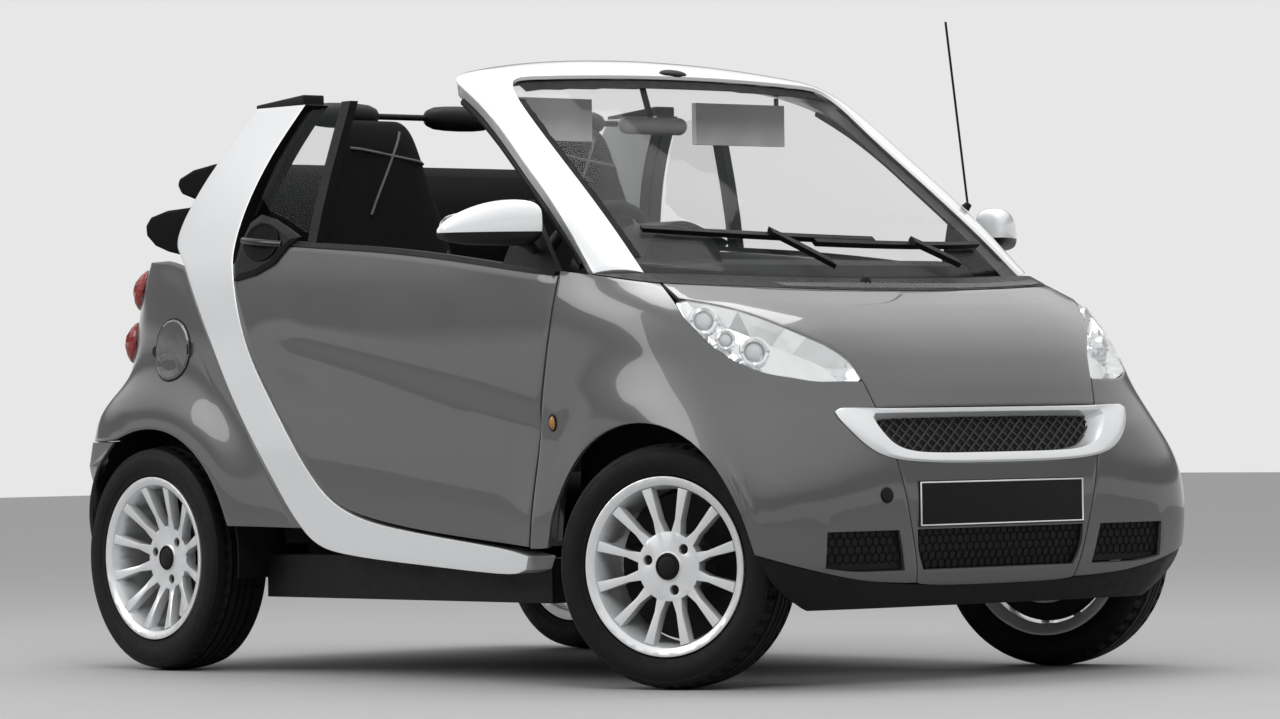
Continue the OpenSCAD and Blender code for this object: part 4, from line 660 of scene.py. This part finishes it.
class CAR_OT_skin(bpy.types.Operator):
    """Painted panels, the side cell and the screen frame"""

    bl_idname = "car.skin"
    bl_label = "Skin panels"

    def execute(self, context):
        for node in ("bonnet", "front_wings", "bumper_centre", "rear_quarters", "rear_bumper", "tailgate",
                     "door_right", "door_left", "cell_sides", "windscreen_frame", "grille_surround",
                     "cowl_panel", "front_apron"):
            piece = panel(node)
            if node == "cell_sides":
                self.darken_towers(piece)
        return {"FINISHED"}

    def darken_towers(self, piece):
        """Black rims in front of and behind the towers of the side cell."""
        piece.data.materials.append(FINISH["black_plastic"])
        for face in piece.data.polygons:
            front = face.normal.x > 0.5 and face.center.z > 1.03
            back = face.normal.x < -0.7 and face.center.z > 1.02
            if face.center.x < -0.3 and (front or back):
                face.material_index = 1


class CAR_OT_wheels(bpy.types.Operator):
    """Tyres with their tread, rims with bolts and caps"""

    bl_idname = "car.wheels"
    bl_label = "Wheels"

    def execute(self, context):
        models = {axle: self.model_tyre(width / 2, outer) for axle, (width, outer, _) in WHEELS.items()}
        models["bolt"] = lathe("bolt_model", [
            (0, 0.008), (0.0062, 0.008), (0.0078, 0.0065), (0.0082, -0.004), (0.0108, -0.006), (0.0108, -0.02),
            (0, -0.02)], 6)
        models["cap"] = lathe("cap_model", [
            (0, 0.0075), (0.012, 0.0072), (0.020, 0.0062), (0.0235, 0.005), (0.0245, 0.0035), (0.026, 0.0035),
            (0.027, 0.0055), (0.030, 0.0048), (0.0315, 0.003), (0, 0.003)], 48)
        for joint in frame["joints"]:
            if joint["name"].endswith("_spin"):
                self.add_wheel(joint, models)
        discard(*models.values())
        return {"FINISHED"}

    def model_tyre(self, half, outer):
        """Carcass with grooves round it, then a notch in every second face of its shoulders."""
        side = [
            (outer, 0.006), (outer - 0.007, 0.0065), (outer - 0.007, 0.0125), (outer - 0.0003, 0.013),
            (outer - 0.001, 0.030), (outer - 0.008, 0.0305), (outer - 0.008, 0.0375), (outer - 0.0015, 0.038),
            (outer - 0.004, 0.056), (outer - 0.009, half - 0.011), (outer - 0.018, half - 0.004),
            (outer - 0.019, half - 0.0045), (outer - 0.028, half - 0.0012), (outer - 0.040, half),
            (outer - 0.052, half - 0.0012), (outer - 0.060, half - 0.004), (outer - 0.061, half - 0.0055),
            (0.2125, half - 0.009), (0.2088, half - 0.016), (0.2085, half - 0.026), (0.2005, half - 0.030)]
        outline = side + [(r, -z) for r, z in reversed(side)]
        model = lathe("tyre_model", outline, TYRE_STEPS, angle=25)
        for face in model.data.polygons:
            z = abs(face.center.z)
            step = round(math.atan2(face.center.y, face.center.x) / math.tau * TYRE_STEPS - 0.5)
            face.select = 0.038 < z < 0.062 and face.center.xy.length > outer - 0.012 and step % 2 == 0
        bpy.context.tool_settings.mesh_select_mode = (False, False, True)
        pick(model)
        bpy.ops.object.mode_set(mode="EDIT")
        bpy.ops.mesh.inset(thickness=0.0016, depth=-0.005, use_individual=True)
        bpy.ops.object.mode_set(mode="OBJECT")
        return model

    def add_wheel(self, joint, models):
        """A tyre on a rounded CAD rim, with three bolt heads and a plain cap."""
        body = joint["name"][:-len("_spin")]
        corner = body[len("wheel_"):]
        axle, side = corner.split("_")
        place = aimed(joint["pos_m"], SIDES[side] * Vector(joint["axis"]))
        seat(twin(models[axle], f"tyre_{corner}_look", place), body, "tyre_rubber", "tyre_" + corner)
        rim = copy_of("rim_" + corner, f"rim_{corner}_look")
        modify(rim, "BEVEL", width=0.0016, segments=2, limit_method="ANGLE", angle_limit=math.radians(40))
        smooth(rim)
        seat(rim, body, "rim_silver", "rim_" + corner)
        width, _, dish = WHEELS[axle]
        hub = width / 2 - 0.018 - dish
        bolts = []
        for i in range(3):
            turn = math.radians(45 + 120 * i)
            spot = Vector((BOLT_CIRCLE_R * math.cos(turn), BOLT_CIRCLE_R * math.sin(turn), hub - 0.012))
            bolts.append(twin(models["bolt"], "bolt", place @ Matrix.Translation(spot)))
        seat(joined(f"bolts_{corner}", bolts), body, "axle_steel")
        cap = twin(models["cap"], f"cap_{corner}", place @ Matrix.Translation((0, 0, hub + 0.0015)))
        seat(cap, body, "black_plastic")


class CAR_OT_nose(bpy.types.Operator):
    """Lattice and combs in the openings, the plate, the round cover and the headlamps"""

    bl_idname = "car.nose"
    bl_label = "Nose details"

    def execute(self, context):
        self.add_lattice()
        self.add_combs()
        self.add_plate()
        cup = lathe("cup_model", [
            (0.0215, -0.010), (0.0235, 0.002), (0.029, 0.006), (0.033, 0.004), (0.034, -0.004), (0.030, -0.018),
            (0.024, -0.022), (0.010, -0.026), (0, -0.026), (0, -0.022), (0.010, -0.021), (0.019, -0.016)], 40)
        bulb = lathe("bulb_model", [
            (0, 0.006), (0.007, 0.0052), (0.013, 0.0025), (0.0175, -0.002), (0.0195, -0.008), (0.0195, -0.011),
            (0, -0.011)], 32)
        for name, side in SIDES.items():
            self.add_headlamp(name, side, cup, bulb)
        discard(cup, bulb)
        return {"FINISHED"}

    def add_lattice(self):
        """Crossing bars in front of the grille's mesh."""
        paths = []
        pitch, low, high, half = 0.031, 0.536, 0.628, 0.352
        count = int((2 * half + high - low) / pitch) + 2
        for lean in (-1, 1):
            for i in range(-2, count):
                path = []
                for k in range(9):
                    z = low + (high - low) * k / 8
                    y = -half + pitch * i + lean * (z - (low + high) / 2) * 1.25
                    hit = touch(["grille_mesh"], (2, y, z), (-1, 0, 0)) if abs(y) < half else None
                    if hit:
                        path.append(hit[0] + Vector((0.002 + 0.001 * lean, 0, 0)))
                if len(path) > 1:
                    paths.append(path)
        seat(rods("grille_lattice", paths, 0.0026, sides=1), "body", "trim_grey")

    def add_combs(self):
        """Six-sided cells in the three lower openings."""
        paths = []
        cell, foot = 0.0125, 0.272
        across, up = cell * 1.732, cell * 1.5
        for y0, y1 in ((-0.55, -0.32), (-0.285, 0.285), (0.32, 0.55)):
            columns = int((y1 - y0) / across)
            for row in range(5):
                for column in range(columns + 1):
                    y = y0 + across * (column + 0.5 * (row % 2))
                    z = foot + up * (row + 0.4)
                    path = []
                    for k in range(6):
                        turn = math.radians(30 + 60 * k)
                        start = (2, y + cell * math.cos(turn), z + cell * math.sin(turn))
                        hit = touch(["grille_mesh"], start, (-1, 0, 0))
                        if hit:
                            path.append(hit[0] + Vector((0.001, 0, 0)))
                    if len(path) == 6:
                        paths.append(path)
        seat(rods("intake_combs", paths, 0.0015, closed=True, sides=0), "body", "deep_black")

    def add_plate(self):
        """A blank front plate with a raised border, and the round cover beside it."""
        wide, high, rim = 0.532, 0.106, 0.004
        place = aimed((1.3485, 0, 0.418), (1, 0, 0))
        board = block("plate_front", (wide, high, 0.003), place, 0.0008)
        seat(board, "body", "black_plastic")
        x, y = wide / 2 - rim, high / 2 - rim
        corners = [(-x, -y), (x, -y), (x, y), (-x, y)]
        ring = rods("plate_front_border", [[place @ Vector((*c, 0.0016)) for c in corners]], 0.0028, closed=True)
        seat(ring, "body", "silver_paint")
        spot, normal, _ = touch(["bumper_centre", "front_wings"], (2, -0.365, 0.442), (-1, 0, 0))
        place = aimed(spot, normal)
        cover = lathe("tow_cover", [
            (0, 0.0012), (0.012, 0.0011), (0.0165, 0.0006), (0.0175, -0.001), (0.0185, -0.001), (0.0190, 0.0004),
            (0.0195, -0.002), (0, -0.002)], 40, place)
        seat(cover, "body", "black_plastic")

    def add_headlamp(self, name, side, cup, bulb):
        """A projector and two reflectors behind the clear lens."""
        ahead = Vector((0.84, 0.5 * side, 0.12))
        places = []
        for x, y, z, size in (
                (1.151, 0.582, 0.776, 1.05), (1.097, 0.622, 0.805, 0.72), (1.039, 0.637, 0.850, 1.0)):
            places.append(aimed(Vector((x, side * y, z)) - 0.030 * ahead, ahead) @ Matrix.Scale(size, 4))
        cups = [twin(cup, "cup", place) for place in places]
        seat(joined(f"headlamp_cups_{name}", cups), "body", "lamp_silver")
        bulbs = [twin(bulb, "bulb", place) for place in places]
        seat(joined(f"headlamp_bulbs_{name}", bulbs), "body", "bulb_glass")


class CAR_OT_trim(bpy.types.Operator):
    """Seals, repeaters, handles and the other small outer pieces"""

    bl_idname = "car.trim"
    bl_label = "Outer trim"

    def execute(self, context):
        pillars = [edge_line("windscreen_frame", side, 0.985, 1.40, 16, 1) for side in SIDES.values()]
        pillars = [[p + Vector((-0.004, 0, 0)) for p in line] for line in pillars]
        seat(rods("pillar_seals", pillars, 0.010), "body", "black_plastic")
        towers = [edge_line("cell_sides", side, 1.15, 1.415, 12, -1) for side in SIDES.values()]
        seat(rods("tower_seals", towers, 0.006), "body", "black_plastic")
        for name, side in SIDES.items():
            self.add_repeater(name, side)
            self.add_mirror(name, side)
            self.add_handle(name, side)
            self.add_shield_and_shade(name)
            self.add_tower_cap(name, side)
        self.add_flap_rim()
        self.add_screen_border()
        self.add_bar_pads()
        self.add_cowl_grid()
        self.add_header_lamp()
        return {"FINISHED"}

    def add_mirror(self, name, side):
        """The housing in two finishes, with a glass facing the driver."""
        body = node_body("mirror_" + name)
        housing = copy_of("mirror_" + name, f"mirror_{name}_housing")
        modify(housing, "SUBSURF", levels=2, render_levels=2)
        smooth(housing, 60)
        seat(housing, body, "mirror_shell", "mirror_" + name)
        glass = sheet(f"mirror_{name}_glass", 12, 8, lambda u, v: self.glass_spot(side, u, v), 0.003)
        modify(glass, "SUBSURF", levels=1, render_levels=1)
        seat(glass, body, "mirror_glass")

    def glass_spot(self, side, u, v):
        """A point of the mirror glass, a rounded plate behind the housing."""
        a, b = 2 * u - 1, 2 * v - 1
        a, b = a * math.sqrt(1 - b * b / 2.6), b * math.sqrt(1 - a * a / 2.6)
        return (0.4455 - 0.12 * a * 0.5, side * (0.830 + 0.066 * a), 1.086 - 0.006 * a + 0.034 * b)

    def add_handle(self, name, side):
        """The dark dish at the rear of the door and the grip across it."""
        fittings = f"door_{name}_fittings"
        hit = touch([fittings], (HANDLE[0], 2 * side, HANDLE[1]), (0, -side, 0))
        if not hit:
            raise RuntimeError("no door fittings under the handle")
        body = node_body("door_" + name)
        y = hit[0].y + side * 0.010
        path = []
        for i in range(9):
            f = i / 8
            bow = 0.014 * (2 * f - 1) ** 2
            path.append((HANDLE[0] - 0.082 + 0.16 * f, y - side * bow, HANDLE[1] + 0.006 - 0.014 * f))
        seat(rods(f"handle_{name}", [path], 0.010, sides=4), body, "gloss_black")

        def dish(u, v):
            a, b = 2 * u - 1, 2 * v - 1
            a, b = a * math.sqrt(1 - b * b / 2), b * math.sqrt(1 - a * a / 2)
            x, z = HANDLE[0] + 0.070 * a, HANDLE[1] + 0.047 * b
            spot = touch([fittings], (x, 2 * side, z), (0, -side, 0))
            rise = 0.0012 + 0.0125 * max(0, math.hypot(a, b) - 0.8)
            return (x, (spot or hit)[0].y + side * rise, z)

        seat(sheet(f"handle_dish_{name}", 24, 24, dish, 0.002), body, "deep_black")

    def add_tower_cap(self, name, side):
        """The black wedge on top of a tower, thicker in front."""
        place = Matrix.Translation((-0.600, side * 0.584, TOWER_TOP))
        cap = block(f"tower_cap_{name}", (0.200, 0.066, 0.010), place, 0.004)
        for vertex in cap.data.vertices:
            if vertex.co.z > TOWER_TOP:
                vertex.co.z += 0.085 * (vertex.co.x + 0.700)
        seat(cap, "body", "black_plastic")

    def add_bar_pads(self):
        """Three padded sleeves on the bar between the towers."""
        low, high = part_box("roof_bar")
        x, z = (low[0] + high[0]) / 2, (low[2] + high[2]) / 2
        outline = [
            (0, -0.112), (0.012, -0.110), (0.022, -0.100), (0.029, -0.080), (0.032, -0.045), (0.033, 0),
            (0.032, 0.045), (0.029, 0.080), (0.022, 0.100), (0.012, 0.110), (0, 0.112)]
        pad = lathe("pad_model", outline, 40)
        pads = [twin(pad, "bar_pad", aimed((x, y, z), (0, 1, 0))) for y in (-0.375, 0.005, 0.385)]
        discard(pad)
        seat(joined("bar_pads", pads), "body", "black_plastic")

    def add_screen_border(self):
        """The black band along the sides and top of the screen's glass."""
        foot, high, wide = 1.0, 0.40, 0.98
        rows, columns = 30, 40

        def glass(y, z):
            spot, rim = (touch([node], (2, y, z), (-1, 0, 0)) for node in ("windscreen", "windscreen_frame"))
            return spot and not (rim and rim[2] < spot[2])

        def side_edge(side, z):
            return max((0.004 * k for k in range(80, 180) if glass(side * 0.004 * k, z)), default=0.5)

        def top_edge(y):
            return max((1.20 + 0.003 * k for k in range(90) if glass(y, 1.20 + 0.003 * k)), default=1.38)

        def laid(y, z):
            spot = touch(["windscreen"], (2, y, z), (-1, 0, 0))
            if not spot:
                raise RuntimeError("no glass under the border")
            return spot[0] + 0.0015 * spot[1]

        parts = []
        tops = [top_edge(wide * (i / columns - 0.5)) for i in range(columns + 1)]
        for side in SIDES.values():
            edges = [side_edge(side, foot + high * i / rows) for i in range(rows + 1)]

            def upright(u, v):
                return laid(side * (edges[round(rows * u)] - 0.020 * v), foot + high * u)

            parts.append(sheet("border", rows, 2, upright, 0.0012))

        def level(u, v):
            return laid(wide * (u - 0.5), tops[round(columns * u)] - 0.026 * v)

        parts.append(sheet("border", columns, 2, level, 0.0012))
        seat(joined("screen_border", parts), "body", "deep_black")

    def add_shield_and_shade(self, name):
        """A brake's dust shield on the inner side of a front brake, made wide and black as painted shade for the
        inside of the wheel.
        """
        joint = next(row for row in frame["joints"] if row["name"] == f"wheel_front_{name}_spin")
        place = aimed(joint["pos_m"], SIDES[name] * Vector(joint["axis"]))
        # painted shade: the shield's black plate darkens the rim's inner side, which lies in shade
        shade_plate = lathe(f"brake_shield_and_shade_{name}", [
            (0.040, -0.052), (0.120, -0.054), (0.168, -0.050), (0.172, -0.046), (0.170, -0.044), (0.120, -0.051),
            (0.040, -0.049)], 64, place)
        seat(shade_plate, "knuckle_" + name, "black_plastic")

    def add_flap_rim(self):
        """Dark seam round the fuel flap and its finger notch."""
        rim = []
        for i in range(48):
            turn = math.tau * i / 48
            x, z = FLAP[0] + FLAP_SEAM_R * math.cos(turn), FLAP[1] + FLAP_SEAM_R * math.sin(turn)
            hit = touch(["fuel_flap", "rear_quarters"], (x, -2, z), (0, 1, 0))
            rim.append(hit[0])
        seat(rods("flap_seam", [rim], 0.0022, closed=True), "body", "black_plastic")
        hit = touch(["rear_quarters"], (-0.990, -2, 0.815), (0, 1, 0))
        notch = lathe("flap_notch", [
            (0, 0.0014), (0.008, 0.0014), (0.0115, 0.0022), (0.0135, 0.0014), (0.014, -0.002), (0, -0.002)], 32,
            aimed(hit[0], hit[1]))
        seat(notch, "body", "black_plastic")

    def add_cowl_grid(self):
        """A fine grid along the front of the cowl, and a washer jet in it."""
        paths = []
        first, pitch, row = -0.33, 0.014, 0.012
        for lean in (-1, 1):
            for i in range(67):
                path = []
                for k in range(4):
                    y = first + pitch * i + lean * row / 2 * (k - 1.5)
                    edge = touch(["cowl_panel"], (2, y, 0.9165 + 0.05 * y * y), (-1, 0, 0))
                    if edge:
                        x = edge[0].x - 0.009 - row * k
                        hit = touch(["cowl_panel"], (x, y, 1.3), (0, 0, -1))
                        if hit and hit[1].z > 0.3:
                            path.append(hit[0] + Vector((0, 0, 0.0008)))
                if len(path) == 4:
                    paths.append(path)
        if not paths:
            raise RuntimeError("no cowl under the grid")
        seat(rods("cowl_grid", paths, 0.0018, sides=0), "body", "grid_grey")
        edge = touch(["cowl_panel"], (2, -0.05, 0.93), (-1, 0, 0))
        hit = touch(["cowl_panel"], (edge[0].x - 0.03, -0.05, 1.3), (0, 0, -1))
        jet = lathe("washer_jet", [
            (0, 0.014), (0.006, 0.0135), (0.010, 0.010), (0.013, 0.003), (0.015, 0), (0.015, -0.003),
            (0, -0.003)], 24, aimed(hit[0], (0.2, 0, 1), (1, 0, 0)))
        seat(jet, "body", "black_plastic")

    def add_header_lamp(self):
        """The dark oval on top of the screen frame."""
        hit = touch(["windscreen_frame"], (0.205, 0.0, 3), (0, 0, -1))
        if not hit:
            raise RuntimeError("no screen frame under the oval")
        place = aimed(hit[0], hit[1], (1, 0, 0)) @ Matrix.Diagonal((1.9, 0.8, 1, 1))
        oval = lathe("header_oval", [
            (0, 0.0075), (0.010, 0.007), (0.017, 0.0055), (0.021, 0.003), (0.0225, 0), (0.0225, -0.002),
            (0, -0.002)], 40, place)
        seat(oval, "body", "black_plastic")

    def add_repeater(self, name, side):
        """A small oval lamp on the wing ahead of the door."""
        hit = touch(["front_wings"], (0.618, 2 * side, 0.617), (0, -side, 0))
        place = aimed(hit[0], hit[1]) @ Matrix.Diagonal((0.85, 1.25, 1, 1))
        base = lathe(f"repeater_base_{name}", [
            (0.0125, -0.002), (0.0165, -0.002), (0.0162, 0.002), (0.0145, 0.0035), (0.0125, 0.002)], 36, place)
        seat(base, "body", "black_plastic")
        lamp = lathe(f"repeater_{name}", [
            (0, 0.0075), (0.005, 0.007), (0.009, 0.0055), (0.0125, 0.002), (0.0125, -0.002),
            (0, -0.002)], 36, place)
        seat(lamp, "body", "lamp_amber")


class CAR_OT_cabin(bpy.types.Operator):
    """Padded seats with their seams, the folded roof, visors and inner mirror"""

    bl_idname = "car.cabin"
    bl_label = "Cabin"

    def execute(self, context):
        seats = copy_of("seats", "seats_padded")
        crease_sharp(seats, 80)
        modify(seats, "SUBSURF", levels=3, render_levels=3)
        smooth(seats, 60)
        seat(seats, "body", "seat_fabric", "seats")
        self.add_seams()
        roof = copy_of("soft_top_stack", "folded_roof")
        modify(roof, "BEVEL", width=0.02, segments=3, limit_method="ANGLE", angle_limit=math.radians(50))
        smooth(roof, 60)
        seat(roof, "body", "roof_fabric", "soft_top_stack")
        header = copy_of("header_fittings", "header_look")
        modify(header, "BEVEL", width=0.004, segments=3, limit_method="ANGLE", angle_limit=math.radians(50))
        smooth(header)
        seat(header, "body", node_slot("header_fittings"), "header_fittings")
        header.data.materials.append(FINISH["visor_cloth"])
        header.data.materials.append(FINISH["mirror_back"])
        mirror_half, visor_end = 0.115, 0.44
        for face in header.data.polygons:
            spot = face.center
            if abs(spot.y) < mirror_half and spot.z < 1.40:
                face.material_index = 2
            elif mirror_half < abs(spot.y) < visor_end and spot.x < 0.2 and 1.29 < spot.z < 1.438:
                face.material_index = 1
        return {"FINISHED"}

    def add_seams(self):
        """Pale sewn lines that cross on the backs and run along the cushions."""
        paths = []
        for middle in (-SEAT_MIDDLE, SEAT_MIDDLE):
            for y0, z0, y1, z1 in (
                    (-0.13, 1.325, 0.13, 1.285), (0.05, 1.365, -0.08, 1.15), (-0.15, 1.06, -0.15, 0.60),
                    (0.15, 1.06, 0.15, 0.60)):
                path = []
                for k in range(13):
                    y, z = (a + (b - a) * k / 12 for a, b in ((y0, y1), (z0, z1)))
                    hit = touch(["seats"], (0.5, middle + y, z), (-1, 0, 0))
                    if hit:
                        path.append(hit[0] + Vector((-0.002, 0, 0)))
                paths.append(path)
        seat(rods("seat_seams", paths, 0.0035), "body", "seam_thread")


class CAR_OT_arches(bpy.types.Operator):
    """Dark liners inside the rear wheel arches"""

    bl_idname = "car.arches"
    bl_label = "Arch liners"

    def execute(self, context):
        for name, side in SIDES.items():
            liner = self.liner(side)
            wall = self.wall(side * 0.602)
            seat(joined(f"rear_liner_{name}", [liner, wall]), "body", "black_plastic")
        return {"FINISHED"}

    def round_spot(self, angle, reach, y):
        """A point beside the rear axle, by its angle and distance."""
        turn = math.radians(angle)
        return (REAR_AXLE[0] + reach * math.cos(turn), y, REAR_AXLE[1] + reach * math.sin(turn))

    def liner(self, side):
        """A strip of a round wall over a wheel, narrower where the bumper turns in."""
        full, lost, turn_in = 0.149, 0.062, 125

        def spot(u, v):
            angle = ARCH_START + ARCH_SWEEP * u
            wide = full - lost * max(0, angle - turn_in) / (ARCH_START + ARCH_SWEEP - turn_in)
            return self.round_spot(angle, ARCH_R, side * (0.603 + wide * v))

        return sheet("liner", 60, 4, spot, 0.003)

    def wall(self, y):
        """The flat inner side of an arch."""

        def spot(u, v):
            return self.round_spot(ARCH_START + ARCH_SWEEP * u, ARCH_R * (0.25 + 0.75 * v), y)

        return sheet("wall", 40, 6, spot, 0.003)


class CAR_OT_plain_nodes(bpy.types.Operator):
    """Finishes for the CAD pieces whose shape is right as it is"""

    bl_idname = "car.plain_nodes"
    bl_label = "CAD pieces"

    def execute(self, context):
        for name, node in frame["nodes"].items():
            if not node.hide_render:
                paint(node, node_slot(name))
                smooth(node, 30)
        return {"FINISHED"}


class CAR_PT_sidebar(bpy.types.Panel):
    """The car's settings and steps in the 3D view's sidebar"""

    bl_idname = "CAR_PT_sidebar"
    bl_label = "City car"
    bl_space_type = "VIEW_3D"
    bl_region_type = "UI"
    bl_category = "City car"

    def draw(self, context):
        layout = self.layout
        for group in (context.scene.car_colours, context.scene.car_sizes):
            for key in group.__annotations__:
                layout.prop(group, key)
        for step in STEPS:
            layout.operator(step.bl_idname)


STEPS = (CAR_OT_stage, CAR_OT_skin, CAR_OT_wheels, CAR_OT_nose, CAR_OT_trim, CAR_OT_cabin, CAR_OT_arches,
         CAR_OT_plain_nodes)
CLASSES = (CarColours, CarSizes, *STEPS, CAR_PT_sidebar)


def register():
    """Adds the classes and the scene's settings."""
    for cls in CLASSES:
        bpy.utils.register_class(cls)
    bpy.types.Scene.car_colours = bpy.props.PointerProperty(type=CarColours)
    bpy.types.Scene.car_sizes = bpy.props.PointerProperty(type=CarSizes)


def unregister():
    """Takes the settings and classes away."""
    del bpy.types.Scene.car_sizes
    del bpy.types.Scene.car_colours
    for cls in reversed(CLASSES):
        bpy.utils.unregister_class(cls)


def main():
    """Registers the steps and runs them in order."""
    register()
    FINISH.update(make_finishes())
    for step in STEPS:
        group, name = step.bl_idname.split(".")
        getattr(getattr(bpy.ops, group), name)()


if __name__ == "__main__":
    main()
